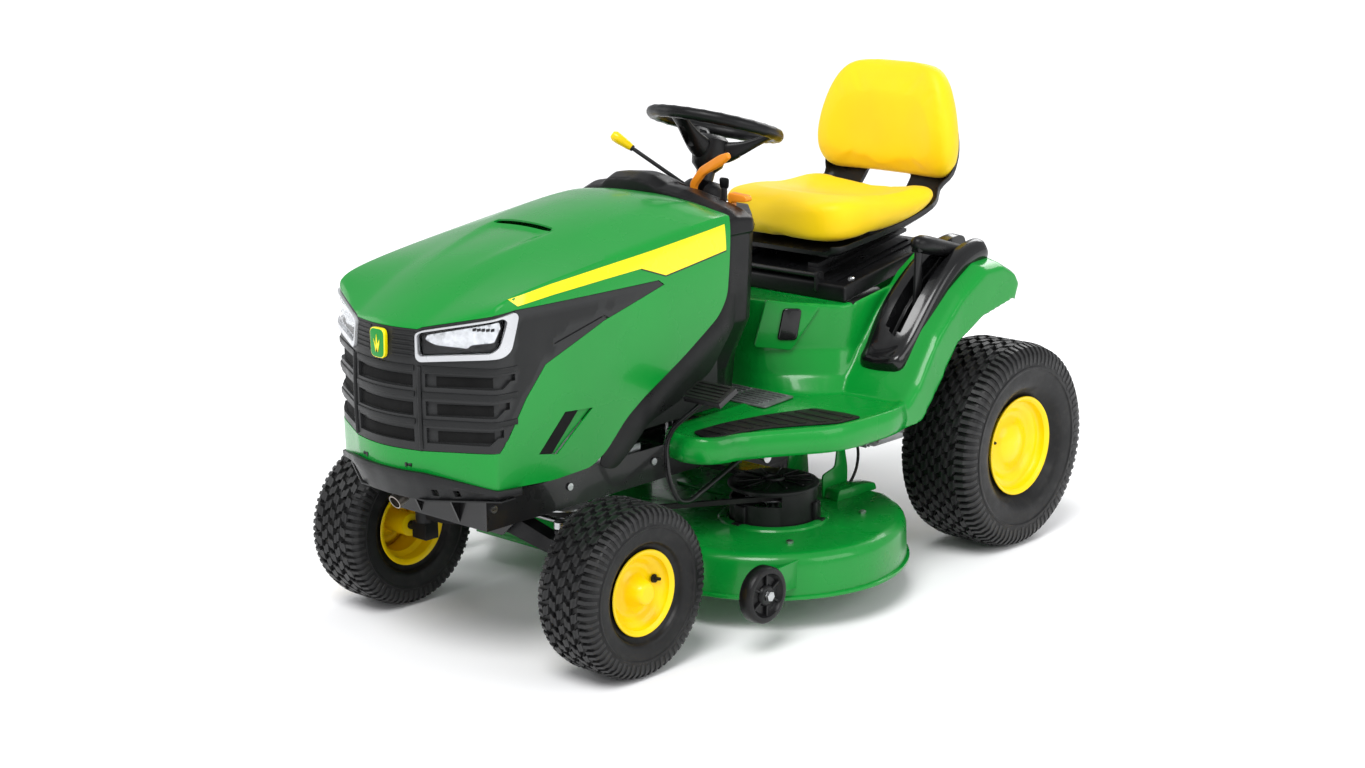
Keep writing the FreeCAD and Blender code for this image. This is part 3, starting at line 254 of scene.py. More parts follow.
def loft(rings, closed=True, caps=True):
    """Skin over rings of equally many points."""
    bm = bmesh.new()
    rows = [[bm.verts.new(p) for p in ring] for ring in rings]
    count = len(rows[0])
    for a, b in zip(rows, rows[1:]):
        for i in range(count if closed else count - 1):
            j = (i + 1) % count
            bm.faces.new((a[i], a[j], b[j], b[i]))
    if caps and closed:
        bm.faces.new(rows[0][::-1])
        bm.faces.new(rows[-1])
    bmesh.ops.recalc_face_normals(bm, faces=bm.faces)
    return bm


def revolve(profile, centre, axis, steps=64, closed=True):
    """Turn an (along, radius) profile about an axis through centre. closed joins its ends."""
    axis = Vector(axis).normalized()
    side = axis.orthogonal().normalized()
    other = axis.cross(side)
    rings = []
    for k in range(steps):
        angle = 2 * math.pi * k / steps
        out = side * math.cos(angle) + other * math.sin(angle)
        rings.append([Vector(centre) + axis * a + out * r for a, r in profile])
    rings.append(rings[0])
    bm = bmesh.new()
    rows = [[bm.verts.new(p) for p in ring] for ring in rings[:-1]]
    rows.append(rows[0])
    count = len(profile)
    for a, b in zip(rows, rows[1:]):
        for i in range(count if closed else count - 1):
            j = (i + 1) % count
            if a[i] is not b[i]:
                bm.faces.new((a[i], a[j], b[j], b[i]))
    bmesh.ops.remove_doubles(bm, verts=bm.verts, dist=1e-5)
    bmesh.ops.recalc_face_normals(bm, faces=bm.faces)
    return bm


def rod(low, high, radius, centre, axis, steps):
    """A plain round bar from low to high along an axis."""
    return revolve([(low, 0.0), (low, radius), (high, radius), (high, 0.0)], centre, axis, steps)


def between(rings, steps):
    """The rings with evenly spaced ones put in between them."""
    out = []
    for a, b in zip(rings, rings[1:]):
        out += [[Vector(p).lerp(Vector(q), k / steps) for p, q in zip(a, b)] for k in range(steps)]
    return out + [[Vector(p) for p in rings[-1]]]


def mirrored_ring(half, place):
    """A closed ring out of the points of its one half; place puts (x, other) in space."""
    return [place(x, other) for x, other in half] + [place(-x, other) for x, other in half[-2:0:-1]]


def smooth_line(points, steps=6):
    """Catmull-Rom line through the points."""
    pts = [Vector(p) for p in points]
    pts = [pts[0] * 2 - pts[1]] + pts + [pts[-1] * 2 - pts[-2]]
    out = []
    for i in range(1, len(pts) - 2):
        p0, p1, p2, p3 = pts[i - 1:i + 3]
        for k in range(steps):
            t = k / steps
            out.append(((p1 * 2) + (p2 - p0) * t + (p0 * 2 - p1 * 5 + p2 * 4 - p3) * t * t
                        + (p1 * 3 - p0 - p2 * 3 + p3) * t ** 3) * 0.5)
    out.append(pts[-2])
    return out


def tube(points, radius, sides=12, steps=6, flat=1.0):
    """A round bar along a smooth line; radius may be a function of the way along it."""
    line = smooth_line(points, steps) if steps > 1 else [Vector(p) for p in points]
    up = Vector(Z_AXIS)
    rings = []
    for i, p in enumerate(line):
        along = (line[min(i + 1, len(line) - 1)] - line[max(i - 1, 0)]).normalized()
        side = along.cross(up)
        if side.length < 0.1:
            side = along.cross(Vector(Y_AXIS))
        side.normalize()
        up = side.cross(along).normalized()
        r = radius(i / (len(line) - 1)) if callable(radius) else radius
        rings.append([])
        for k in range(sides):
            b = 2 * math.pi * k / sides
            rings[-1].append(p + side * r * math.cos(b) + up * r * flat * math.sin(b))
    return loft(rings)


def as_object(bm, name="temp"):
    mesh = bpy.data.meshes.new(name)
    bm.to_mesh(mesh)
    bm.free()
    ob = bpy.data.objects.new(name, mesh)
    COLLECTION.objects.link(ob)
    return ob


def baked(ob):
    """The object's evaluated mesh as a bmesh; the object is removed."""
    bpy.context.view_layer.update()
    graph = bpy.context.evaluated_depsgraph_get()
    mesh = bpy.data.meshes.new_from_object(ob.evaluated_get(graph))
    bm = bmesh.new()
    bm.from_mesh(mesh)
    bpy.data.meshes.remove(mesh)
    old = ob.data
    bpy.data.objects.remove(ob)
    bpy.data.meshes.remove(old)
    return bm


def cut(bm, tools, operation="DIFFERENCE"):
    ob = as_object(bm)
    helpers = [as_object(t) for t in tools]
    for helper in helpers:
        modifier = ob.modifiers.new("cut", "BOOLEAN")
        modifier.operation = operation
        modifier.solver = "EXACT"
        modifier.object = helper
    out = baked(ob)
    for helper in helpers:
        bpy.data.objects.remove(helper)
    return out


def cut_each(bm, tools):
    """Cut the tools away one after another."""
    for tool in tools:
        bm = cut(bm, [tool])
    return bm


def moulded(bm, voxel, rounds, factor=0.5):
    """One smooth skin over overlapping solids, with soft inner and outer corners."""
    ob = as_object(bm)
    remesh = ob.modifiers.new("skin", "REMESH")
    remesh.mode = "VOXEL"
    remesh.voxel_size = voxel
    soften = ob.modifiers.new("soften", "SMOOTH")
    soften.factor = factor
    soften.iterations = rounds
    return baked(ob)


def subdivided(bm, levels):
    ob = as_object(bm)
    modifier = ob.modifiers.new("fine", "SUBSURF")
    modifier.levels = levels
    modifier.render_levels = levels
    return baked(ob)


def solidified(bm, thickness):
    ob = as_object(bm)
    modifier = ob.modifiers.new("wall", "SOLIDIFY")
    modifier.thickness = thickness
    modifier.offset = -1
    return baked(ob)


def piece(name, bm, body, mat, replaces=(), angle=35):
    mesh = bpy.data.meshes.new(name)
    bm.to_mesh(mesh)
    bm.free()
    mesh.transform(Matrix.Translation(OFFSET))
    mesh.polygons.foreach_set("use_smooth", [True] * len(mesh.polygons))
    mesh.set_sharp_from_angle(angle=math.radians(angle))
    mesh.materials.append(mat)
    ob = bpy.data.objects.new(name, mesh)
    COLLECTION.objects.link(ob)
    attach(ob, body)
    if replaces:
        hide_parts(*replaces)
    return ob


def dress(mat, *nodes):
    """Give carried-over frame nodes their finish."""
    for name in nodes:
        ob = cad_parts[name]
        ob.data.materials.clear()
        ob.data.materials.append(mat)


# ---- hood surface -----------------------------------------------------------------------------
# Control rows from the rear edge to the nose: y, then (x, z) on the centre line, beside it, on the
# top crease and on the shoulder.
HOOD_ROWS = [
    (-0.157, (0, 0.912), (0.075, 0.910), (0.152, 0.901), (0.2445, 0.886)),
    (-0.215, (0, 0.925), (0.074, 0.924), (0.148, 0.916), (0.2475, 0.887)),
    (-0.310, (0, 0.928), (0.072, 0.926), (0.143, 0.913), (0.2490, 0.876)),
    (-0.440, (0, 0.916), (0.070, 0.914), (0.138, 0.899), (0.2500, 0.860)),
    (-0.590, (0, 0.888), (0.066, 0.886), (0.131, 0.871), (0.2480, 0.841)),
    (-0.730, (0, 0.848), (0.062, 0.846), (0.123, 0.834), (0.2440, 0.822)),
    (-0.835, (0, 0.803), (0.058, 0.801), (0.114, 0.792), (0.2390, 0.803)),
]
NOSE_ROW = [(0, -0.940, 0.746), (0.052, -0.934, 0.746), (0.1, -0.920, 0.746), (0.232, -0.856, 0.784)]
FACE_LEVELS = [0.722, 0.655, 0.575, 0.495, 0.380]
FACE_LEAN = [0.004, 0.009, 0.011, 0.010, 0.002]


def hood_cage():
    bm = bmesh.new()
    crease = bm.edges.layers.float.new("crease_edge")
    top = [[bm.verts.new((x, y, z)) for x, z in row] for y, *row in HOOD_ROWS]
    top.append([bm.verts.new(p) for p in NOSE_ROW])
    side = []
    for i, row in enumerate(top):
        x, y, z = row[3].co
        nose = i == len(top) - 1
        points = [(x + 0.007, y, z - 0.030), (x + 0.011, y, 0.56 * z + 0.28), (x + 0.010, y, 0.63),
                  (x + 0.004, y, 0.52), (x - 0.006, y, 0.37)]
        if nose:
            points = [(x + 0.004, y - 0.2 * lean, level) for level, lean in zip(FACE_LEVELS, FACE_LEAN)]
        side.append([row[3]] + [bm.verts.new(p) for p in points])
    face = [top[-1][:3]]
    for level, lean in zip(FACE_LEVELS, FACE_LEAN):
        face.append([bm.verts.new((v.co.x, v.co.y - lean, level)) for v in top[-1][:3]])
    for a, b in zip(top, top[1:]):
        for i in range(3):
            bm.faces.new((a[i], a[i + 1], b[i + 1], b[i]))
    for a, b in zip(side, side[1:]):
        for i in range(5):
            bm.faces.new((a[i], a[i + 1], b[i + 1], b[i]))
    corner = side[-1]
    for k in range(5):
        for i in range(2):
            bm.faces.new((face[k][i], face[k][i + 1], face[k + 1][i + 1], face[k + 1][i]))
        bm.faces.new((face[k][2], corner[k], corner[k + 1], face[k + 1][2]))

    def sharpen(chain, weight):
        for a, b in zip(chain, chain[1:]):
            bm.edges.get((a, b))[crease] = weight
    sharpen([row[3] for row in top], 0.55)
    sharpen([row[2] for row in top], 0.50)
    sharpen([row[2] for row in face], 0.80)
    sharpen(top[-1], 0.65)
    sharpen(corner, 0.35)
    bm = join([bm.copy(), copy_of(bm, MIRROR)])
    bmesh.ops.remove_doubles(bm, verts=bm.verts, dist=1e-5)
    bmesh.ops.recalc_face_normals(bm, faces=bm.faces)
    if max(bm.faces, key=lambda f: f.calc_center_median().z).normal.z < 0:
        bmesh.ops.reverse_faces(bm, faces=bm.faces)
    return bm


def scoop_drop(x, y):
    """How far the intake ramp in front of the hood's slot lies below the surface."""
    along = (y + 0.80) / (0.80 - 0.540)
    if not 0 < along < 1:
        return 0.0
    half = 0.050 + 0.045 * along
    across = max(0.0, 1 - (abs(x) / half) ** 6)
    return 0.013 * along ** 1.5 * across


HOOD_SURFACE = subdivided(hood_cage(), 3)
HOOD_TREE = BVHTree.FromBMesh(HOOD_SURFACE)

PLAN = smooth_line([(0, -0.950, 0), (0.05, -0.943, 0), (0.1, -0.930, 0), (0.165, -0.893, 0),
                    (0.235, -0.845, 0), (0.256, -0.77, 0), (0.262, -0.60, 0), (0.262, -0.40, 0),
                    (0.258, -0.155, 0)], 12)
PLAN_S = [0.0]
for before, after in zip(PLAN, PLAN[1:]):
    PLAN_S.append(PLAN_S[-1] + (after - before).length)


def plan_at(s):
    """Point and outward direction on the hood's plan at a distance from the nose."""
    s = min(max(s, 0.0), PLAN_S[-1] - 1e-4)
    i = max(k for k in range(len(PLAN_S) - 1) if PLAN_S[k] <= s)
    t = (s - PLAN_S[i]) / (PLAN_S[i + 1] - PLAN_S[i])
    span = 6
    low, high = max(i - span, 0), min(i + span, len(PLAN) - 1)
    along = PLAN[high] - PLAN[low]
    if i < span:
        along.y *= max(0.05, i / span)
    along.normalize()
    return PLAN[i].lerp(PLAN[i + 1], t), Vector((-along.y, along.x, 0)) * -1


def plan_distance(value, part):
    """Distance from the nose at which the plan reaches a given x (part 0) or y (part 1)."""
    for i in range(len(PLAN) - 1):
        a, b = PLAN[i][part], PLAN[i + 1][part]
        if a <= value <= b and b > a:
            return PLAN_S[i] + (value - a) / (b - a) * (PLAN_S[i + 1] - PLAN_S[i])
    return PLAN_S[-1]


def s_of_x(x):
    return math.copysign(plan_distance(abs(x), 0), x)


def s_of_y(y):
    return plan_distance(y, 1)


def on_hood(s, z, lift=0.0):
    """A point on the hood's skin, lifted outwards."""
    sign = -1 if s < 0 else 1
    base, out = plan_at(abs(s))
    hit = HOOD_TREE.ray_cast(Vector((base.x, base.y, z)) + out * 0.12, -out, 0.30)[0]
    if hit is None:
        hit = HOOD_TREE.find_nearest(Vector((base.x, base.y, z)))[0]
    point = hit + out * lift
    return Vector((point.x * sign, point.y, point.z))


def wrapped(outline, outer, inner, step=0.012, edge=0.0):
    """A plate that follows the hood's skin: outline in (distance from the nose, z)."""
    bm = bmesh.new()
    bm.faces.new([bm.verts.new((s, z, 0)) for s, z in outline])
    for part in (0, 1):
        low = min(p[part] for p in outline)
        high = max(p[part] for p in outline)
        pitch = step if part == 0 else step * 1.6
        normal = (1, 0, 0) if part == 0 else (0, 1, 0)
        k = math.floor(low / pitch) + 1
        while k * pitch < high:
            point = (k * pitch, 0, 0) if part == 0 else (0, k * pitch, 0)
            bmesh.ops.bisect_plane(bm, geom=bm.verts[:] + bm.edges[:] + bm.faces[:], plane_co=point,
                                   plane_no=normal, dist=1e-6)
            k += 1
    grown = bmesh.ops.extrude_face_region(bm, geom=bm.faces[:])
    bmesh.ops.translate(bm, verts=[v for v in grown["geom"] if isinstance(v, bmesh.types.BMVert)],
                        vec=Z_AXIS)
    for v in bm.verts:
        v.co = on_hood(v.co.x, v.co.y, outer if v.co.z > 0.5 else inner)
    bmesh.ops.remove_doubles(bm, verts=bm.verts, dist=1e-6)
    bmesh.ops.recalc_face_normals(bm, faces=bm.faces)
    if edge:
        bevel(bm, edge, 2, 45)
    return bm


def side_outline(points):
    """(y, z) on the hood's side as (distance, z)."""
    return [(s_of_y(y), z) for y, z in points]


# The dark front of the hood, from the centre round to the wedge on its side.
S_RIDGE = s_of_x(0.1)
S_CORNER = s_of_y(-0.845)
S_LAMP_END = s_of_y(-0.795)
LAMP_OUTLINE = [(S_RIDGE - 0.010, 0.735), (S_RIDGE + 0.006, 0.742), (S_CORNER, 0.772),
                (S_LAMP_END - 0.006, 0.780), (S_LAMP_END + 0.002, 0.770), (s_of_y(-0.815), 0.702),
                (s_of_y(-0.832), 0.690), (S_RIDGE + 0.002, 0.676), (S_RIDGE - 0.008, 0.684)]
WEDGE = side_outline([(-0.800, 0.782), (-0.396, 0.782), (-0.378, 0.770), (-0.560, 0.722), (-0.725, 0.659),
                      (-0.777, 0.597), (-0.822, 0.523), (-0.842, 0.494)])
DARK = [(0.0, 0.7425), (S_RIDGE - 0.006, 0.7425), (S_RIDGE + 0.006, 0.747),
        (S_CORNER, 0.777)] + WEDGE + [(S_RIDGE, 0.492), (0.0, 0.492)]
DARK_FULL = DARK + [(-s, z) for s, z in DARK[::-1] if s > 1e-6]
VENT = side_outline([(-0.671, 0.549), (-0.592, 0.543), (-0.690, 0.462), (-0.742, 0.472)])
HOOD_LOWER = [(-1.0, 0.30), (-1.0, 0.450), (-0.950, 0.450), (-0.858, 0.418), (-0.700, 0.408),
              (-0.590, 0.414), (-0.548, 0.440), (-0.492, 0.500), (-0.440, 0.536), (-0.320, 0.602),
              (-0.205, 0.672), (-0.176, 0.712), (-0.170, 0.760), (-0.1565, 0.880), (-0.1560, 0.950),
              (-0.10, 0.950), (-0.10, 0.30)]


def mirrored_outline(outline):
    return [(-s, z) for s, z in outline[::-1]]


def both_sides(outline, outer, inner):
    """A wrapped plate and its mirror image."""
    return [wrapped(outline, outer, inner), wrapped(mirrored_outline(outline), outer, inner)]


def hood_shell():
    skin = HOOD_SURFACE.copy()
    for v in skin.verts:
        if v.co.z > 0.6:
            v.co.z -= scoop_drop(v.co.x, v.co.y)
    shell = solidified(skin, 0.004)
    scoop = rounded([(-0.088, -0.543), (0.088, -0.543), (0.082, -0.531), (-0.082, -0.531)], 0.003)
    tools = [prism(rounded(HOOD_LOWER, 0.02), "x", -0.4, 0.4), wrapped(DARK_FULL, 0.03, -0.03),
             *both_sides(VENT, 0.03, -0.03), prism(scoop, "z", 0.84, 0.96)]
    shell = cut(shell, tools)
    piece("hood_skin", shell, "hood", GREEN, ("hood_shell",), angle=32)


def slot_outline(s0, s1, z0, z1, step):
    """A grille slot with its outer end stepped."""
    mid = z0 + (z1 - z0) * 0.5
    return [(s0, z0), (s1 - step, z0), (s1 - step * 0.4, mid), (s1, mid), (s1, z1), (s0, z1), (s0, mid),
            (s0, mid)]


def front_grille():
    body = wrapped([(s * 0.9985, z - 0.0012 if z > 0.6 else z + 0.0012) for s, z in DARK_FULL], -0.001,
                   -0.016)
    slots = []
    for z0, z1 in ((0.510, 0.543), (0.565, 0.598), (0.623, 0.654)):
        slots.append(wrapped([(-0.086, z0), (0.086, z0), (0.086, z1), (-0.086, z1)], 0.02, -0.009))
    ends = ((0.510, 0.540, 0.834), (0.567, 0.595, 0.820), (0.626, 0.652, 0.806))
    for z0, z1, end in ends:
        outline = slot_outline(S_RIDGE + 0.012, s_of_y(-end), z0, z1 + 0.002, 0.030)
        slots += both_sides(outline, 0.02, -0.009)
    slots += both_sides(LAMP_OUTLINE, 0.02, -0.0155)
    groove = side_outline([(-0.700, 0.700), (-0.560, 0.735), (-0.540, 0.724), (-0.500, 0.734),
                           (-0.500, 0.731), (-0.543, 0.720), (-0.562, 0.731), (-0.700, 0.696)])
    slots += both_sides(groove, 0.02, -0.004)
    body = bevel(cut(body, slots), 0.0018, 2, 50)
    piece("grille_face", body, "hood", CHARCOAL, ("grille",), angle=40)
    # Near-black sheets just under the grille slots: painted shade for the dark space behind the grille.
    shade_sheets = []
    for z0, z1 in ((0.511, 0.534), (0.567, 0.590), (0.626, 0.647)):
        shade_sheets.append(wrapped([(-0.080, z0), (0.080, z0), (0.080, z1), (-0.080, z1)], -0.0078, -0.0105))
        for s0, s1 in ((S_RIDGE + 0.034, s_of_y(-0.850)), (-s_of_y(-0.850), -S_RIDGE - 0.034)):
            shade_sheets.append(wrapped([(s0, z0 + 0.002), (s1, z0 + 0.004), (s1, z1 + 0.002), (s0, z1)], -0.0078,
                                 -0.0105))
    piece("grille_opening_shade", join(shade_sheets), "hood", PAINTED_SHADE)
    bars = []
    for k in range(6):
        z = 0.686 + k * 0.0095
        for s0, s1 in ((0.034, 0.090), (-0.090, -0.034)):
            bars.append(wrapped([(s0, z), (s1, z), (s1, z + 0.004), (s0, z + 0.004)], 0.0012, -0.002,
                                edge=0.0006))
    for sign in (1, -1):
        line = [on_hood(sign * (S_RIDGE - 0.0005), z) for z in (0.497, 0.53, 0.56, 0.60, 0.64, 0.668)]
        bars.append(tube(line, 0.0045, 10, 3))
    depth = 0.006
    for z in (0.5540, 0.6105, 0.6640):
        for s0, s1 in ((-0.090, 0.090), (S_RIDGE + 0.006, s_of_y(-0.800)),
                       (-s_of_y(-0.800), -S_RIDGE - 0.006)):
            bars.append(wrapped([(s0, z - depth), (s1, z - depth), (s1, z + depth), (s0, z + depth)],
                                0.0018, -0.004, edge=0.0016))
    piece("grille_louvres", join(bars), "hood", CHARCOAL, angle=40)


def shrunk(outline, margin):
    """The outline moved inwards."""
    out = []
    count = len(outline)
    for i in range(count):
        p, a, b = Vector(outline[i]), Vector(outline[i - 1]), Vector(outline[(i + 1) % count])
        one, two = (p - a).normalized(), (b - p).normalized()
        normal = Vector((one.y + two.y, -one.x - two.x)).normalized()
        spread = max(0.4, normal.dot(Vector((one.y, -one.x))))
        out.append(tuple(p + normal * margin / spread))
    return out


def headlamps():
    outer = rounded(shrunk(LAMP_OUTLINE, 0.0015), 0.012)
    window = [(S_RIDGE - 0.004, 0.731), (S_RIDGE + 0.006, 0.737), (S_CORNER - 0.004, 0.766),
              (S_LAMP_END - 0.036, 0.770), (S_LAMP_END - 0.027, 0.762), (s_of_y(-0.838), 0.712),
              (s_of_y(-0.851), 0.701), (S_RIDGE + 0.004, 0.689), (S_RIDGE - 0.001, 0.694)]
    inner = rounded(window, 0.008)
    frame_parts, lenses, cups, darks, leds = [], [], [], [], []
    for mirror in (False, True):
        def side(outline):
            return mirrored_outline(outline) if mirror else outline
        for k in range(len(outer)):
            strip = [outer[k - 1], outer[k], inner[k], inner[k - 1]]
            frame_parts.append(wrapped(side(strip), 0.0045, -0.008))
        darks.append(wrapped(side(inner), -0.0125, -0.0150))
        upper = [(S_RIDGE + 0.012, 0.722), (S_RIDGE + 0.016, 0.731), (S_CORNER - 0.008, 0.759),
                 (S_CORNER + 0.010, 0.762), (S_CORNER + 0.012, 0.750), (S_CORNER - 0.002, 0.722),
                 (S_CORNER - 0.048, 0.716), (S_CORNER - 0.058, 0.708), (S_RIDGE + 0.034, 0.712)]
        cups.append(wrapped(side(rounded(upper, 0.004)), -0.0055, -0.0120, step=0.004))
        for k in range(5):
            s0 = S_CORNER - 0.046 + k * 0.0095
            led = [(s0, 0.7435), (s0 + 0.0078, 0.7450), (s0 + 0.0078, 0.7510), (s0, 0.7495)]
            leds.append(wrapped(side(led), -0.0040, -0.0060, edge=0.0006))
        lenses.append(wrapped(side(inner), -0.0005, -0.0015))
    piece("lamp_surrounds", join(frame_parts), "hood", SILVER, ("headlights",), angle=40)
    piece("lamp_housings", join(darks), "hood", GLOSS_BLACK)
    cup = join(cups)
    for v in cup.verts:
        v.co.y += 0.0011 * math.sin(v.co.x * 520) * math.sin(v.co.z * 610)
    piece("lamp_reflectors", cup, "hood", REFLECTOR, angle=20)
    piece("lamp_leds", join(leds), "hood", GLOSS_BLACK)
    piece("lamp_lenses", join(lenses), "hood", LENS)


def stripes():
    top = [(-0.814, 0.8045), (-0.70, 0.8195), (-0.55, 0.834), (-0.40, 0.8475), (-0.177, 0.8700)]
    low = [(-0.178, 0.8140), (-0.374, 0.7890), (-0.446, 0.8140), (-0.55, 0.8080), (-0.70, 0.7975),
           (-0.792, 0.7885)]
    outline = side_outline(top + low)
    line = side_outline([(-0.178, 0.8140), (-0.374, 0.7890), (-0.446, 0.8140), (-0.4465, 0.8116),
                         (-0.374, 0.7864), (-0.178, 0.8114)])
    band = join(both_sides(outline, 0.0006, -0.001))
    piece("side_stripes", band, "hood", STRIPE)
    edge = join(both_sides(line, 0.0007, -0.001))
    piece("stripe_edges", edge, "hood", GLOSS_BLACK)


def side_vents():
    plate = join(both_sides(VENT, -0.0020, -0.0060))
    for v in plate.verts:
        forward = max(0.0, min(1.0, (-0.600 - v.co.y + (v.co.z - 0.50)) / 0.10))
        v.co.x -= math.copysign(forward * 0.014, v.co.x)
    piece("vent_floors", plate, "hood", GREEN)
    # A near-black sheet in each vent's gap: painted shade for the dark space inside the vent.
    gap = side_outline([(-0.6690, 0.5480), (-0.6340, 0.5455), (-0.7050, 0.4660), (-0.7400, 0.4720)])
    piece("vent_gap_shade", join(both_sides(gap, -0.0010, -0.004)), "hood", PAINTED_SHADE)


def badge():
    """A plain round-cornered badge with three blades of grass."""
    centre = on_hood(0, 0.706, 0.004)
    frame_outline = rounded([(-0.021, -0.031), (0.021, -0.031), (0.023, 0.031), (-0.023, 0.031)], 0.014, 6)
    at = [(centre.x + a, centre.z + b) for a, b in frame_outline]
    rim = prism(at, "y", centre.y - 0.004, centre.y + 0.006)
    face = prism([(centre.x + a * 0.91, centre.z + b * 0.94) for a, b in frame_outline], "y",
                 centre.y - 0.0050, centre.y)
    piece("badge_rim", bevel(rim, 0.0018, 3), "hood", STRIPE)
    piece("badge_face", bevel(face, 0.0012, 3), "hood", GREEN)
    blades = []
    for lean, height in ((-0.009, 0.026), (0.0, 0.036), (0.009, 0.026)):
        x, z = centre.x, centre.z - 0.018
        outline = [(x + lean * 0.15 - 0.0022, z), (x + lean * 0.15 + 0.0022, z),
                   (x + lean * 0.7 + 0.0018, z + height * 0.6), (x + lean, z + height),
                   (x + lean * 0.5 - 0.0018, z + height * 0.6)]
        blades.append(prism(outline, "y", centre.y - 0.0062, centre.y - 0.004))
    piece("badge_blades", join(blades), "hood", STRIPE)


def bumper():
    """The dark skirt under the nose, with two small slots."""
    plan = [(0, -0.955), (0.06, -0.951), (0.105, -0.940), (0.168, -0.902), (0.243, -0.856), (0.254, -0.800)]
    rings = []
    for x, y in [(-x, y) for x, y in plan[:0:-1]] + plan:
        reach = abs(x)
        top = 0.449 - max(0.0, reach - 0.105) * 0.225
        low = 0.386 + max(0.0, reach - 0.10) * 0.06
        out = Vector((x, y + 0.55, 0)).normalized()
        ring = []
        for inset, z in ((0.0, top), (0.001, top - 0.012), (0.012, (top + low) / 2), (0.022, low),
                         (0.030, low), (0.020, (top + low) / 2), (0.010, top - 0.012), (0.010, top)):
            ring.append((x - out.x * inset, y - out.y * inset, z))
        rings.append(ring)
    slots = [box(x - 0.006, x + 0.006, -0.96, -0.86, 0.398, 0.412, 0.001) for x in (0.118, 0.158)]
    skirt = cut(loft(between(rings, 3)), slots)
    tray = loft([[(-0.235, -0.84, 0.392), (-0.10, -0.925, 0.388), (0.10, -0.925, 0.388),
                  (0.235, -0.84, 0.392)], [(-0.235, -0.80, 0.392), (-0.10, -0.80, 0.388),
                                           (0.10, -0.80, 0.388), (0.235, -0.80, 0.392)]], closed=False,
                caps=False)
    skirt = join([bevel(skirt, 0.0015, 2, 40), solidified(tray, 0.003)])
    piece("nose_skirt", skirt, "chassis", CHARCOAL, ("front_bumper",), angle=40)


# ---- tyres and rims ---------------------------------------------------------------------------
def tyre_profile(radius, width, seat):
    """Carcass outline (across, radius) from one bead to the other, grooves left out."""
    half = width / 2
    side = [(0.70, seat), (0.735, seat + 0.010), (0.80, seat + 0.020), (0.93, radius * 0.60),
            (0.975, radius * 0.70), (0.985, radius * 0.755), (1.005, radius * 0.765),
            (1.005, radius * 0.785), (0.990, radius * 0.795), (0.975, radius * 0.885),
            (0.90, radius * 0.935), (0.72, radius * 0.952), (0.36, radius * 0.962)]
    left = smooth_line([(-a * half, r, 0) for a, r in side], 3)
    right = [Vector((-p.x, p.y, 0)) for p in left[::-1]]
    outer = [(p.x, p.y) for p in left] + [(0.0, radius * 0.964)] + [(p.x, p.y) for p in right]
    inner = [(0.60, seat), (0.66, seat + 0.016), (0.86, radius * 0.62), (0.92, radius * 0.76),
             (0.88, radius * 0.86), (0.50, radius * 0.925)]
    inside = [(a * half, r) for a, r in inner] + [(-a * half, r) for a, r in inner[::-1]]
    return outer + inside


def tread_height(a, half, radius):
    """Outer radius of the tread across its width."""
    t = abs(a) / half
    if t < 0.55:
        return radius
    return radius - (t - 0.55) ** 2.1 * radius * 0.36


def tread_block(outline, half, radius, depth, count, index, phase):
    """One rubber block: outline in (across, fraction of a pitch), standing on the carcass."""
    bm = bmesh.new()
    rings = []
    for lift, shrink in ((0.0, 1.0), (0.86, 0.97), (1.0, 0.90)):
        centre = (sum(p[0] for p in outline) / len(outline), sum(p[1] for p in outline) / len(outline))
        ring = []
        for a, f in outline:
            a = centre[0] + (a - centre[0]) * shrink
            f = centre[1] + (f - centre[1]) * shrink
            angle = 2 * math.pi * (index + f + phase) / count
            r = tread_height(a, half, radius) - depth * (1 - lift)
            ring.append(bm.verts.new((a, math.cos(angle) * r, math.sin(angle) * r)))
        rings.append(ring)
    n = len(outline)
    for low, high in zip(rings, rings[1:]):
        for i in range(n):
            bm.faces.new((low[i], low[(i + 1) % n], high[(i + 1) % n], high[i]))
    bm.faces.new(rings[-1])
    return bm


def side_lug(sign, half, radius, angle, spread, reach):
    """A bar that runs from the tread over the shoulder and down the sidewall."""
    path = [(0.66, 0.950), (0.86, 0.935), (0.955, 0.900), (0.985, 0.862), (0.994, reach)]
    lift = [(0.0, 0.044), (0.020, 0.036), (0.046, 0.016), (0.030, 0.004), (0.004, 0.0)]
    rings = []
    for (a, r), (out, up) in zip(path, lift):
        ring = []
        for turn_by, raised, thin in ((-spread, 0, 1.0), (-spread, 1, 0.86), (spread, 1, 0.86),
                                      (spread, 0, 1.0)):
            t = angle + turn_by * thin
            across, around = sign * half * (a + out * raised * 0.5), radius * (r + up * raised)
            ring.append((across, math.cos(t) * around, math.sin(t) * around))
        rings.append(ring)
    return loft(rings)


def tyre_mesh(radius, width, seat, count, rows):
    half = width / 2
    parts = [revolve(tyre_profile(radius, width, seat), ORIGIN, X_AXIS, 120)]
    span = half * 0.66
    pitch = 2 * span / rows
    for index in range(count):
        for row in range(rows):
            a = -span + pitch * (row + 0.5)
            lean = 0.13 if row % 2 else -0.13
            w = pitch * 0.44
            outline = [(a - w, 0.10 - lean), (a - w * 0.25, 0.02 - lean * 0.3),
                       (a + w * 0.25, 0.12 + lean * 0.3), (a + w, 0.04 + lean), (a + w, 0.62 + lean),
                       (a + w * 0.25, 0.74 + lean * 0.3), (a - w * 0.25, 0.64 - lean * 0.3),
                       (a - w, 0.68 - lean)]
            parts.append(tread_block(outline, half, radius, radius * 0.052, count, index,
                                     0.5 if row % 2 else 0.0))
        for sign in (1, -1):
            for sub in (0, 1):
                angle = 2 * math.pi * (index + 0.25 + 0.5 * sub) / count
                parts.append(side_lug(sign, half, radius, angle, 0.85 / count, 0.800 if sub else 0.822))
    out = join(parts)
    bmesh.ops.recalc_face_normals(out, faces=out.faces)
    return out


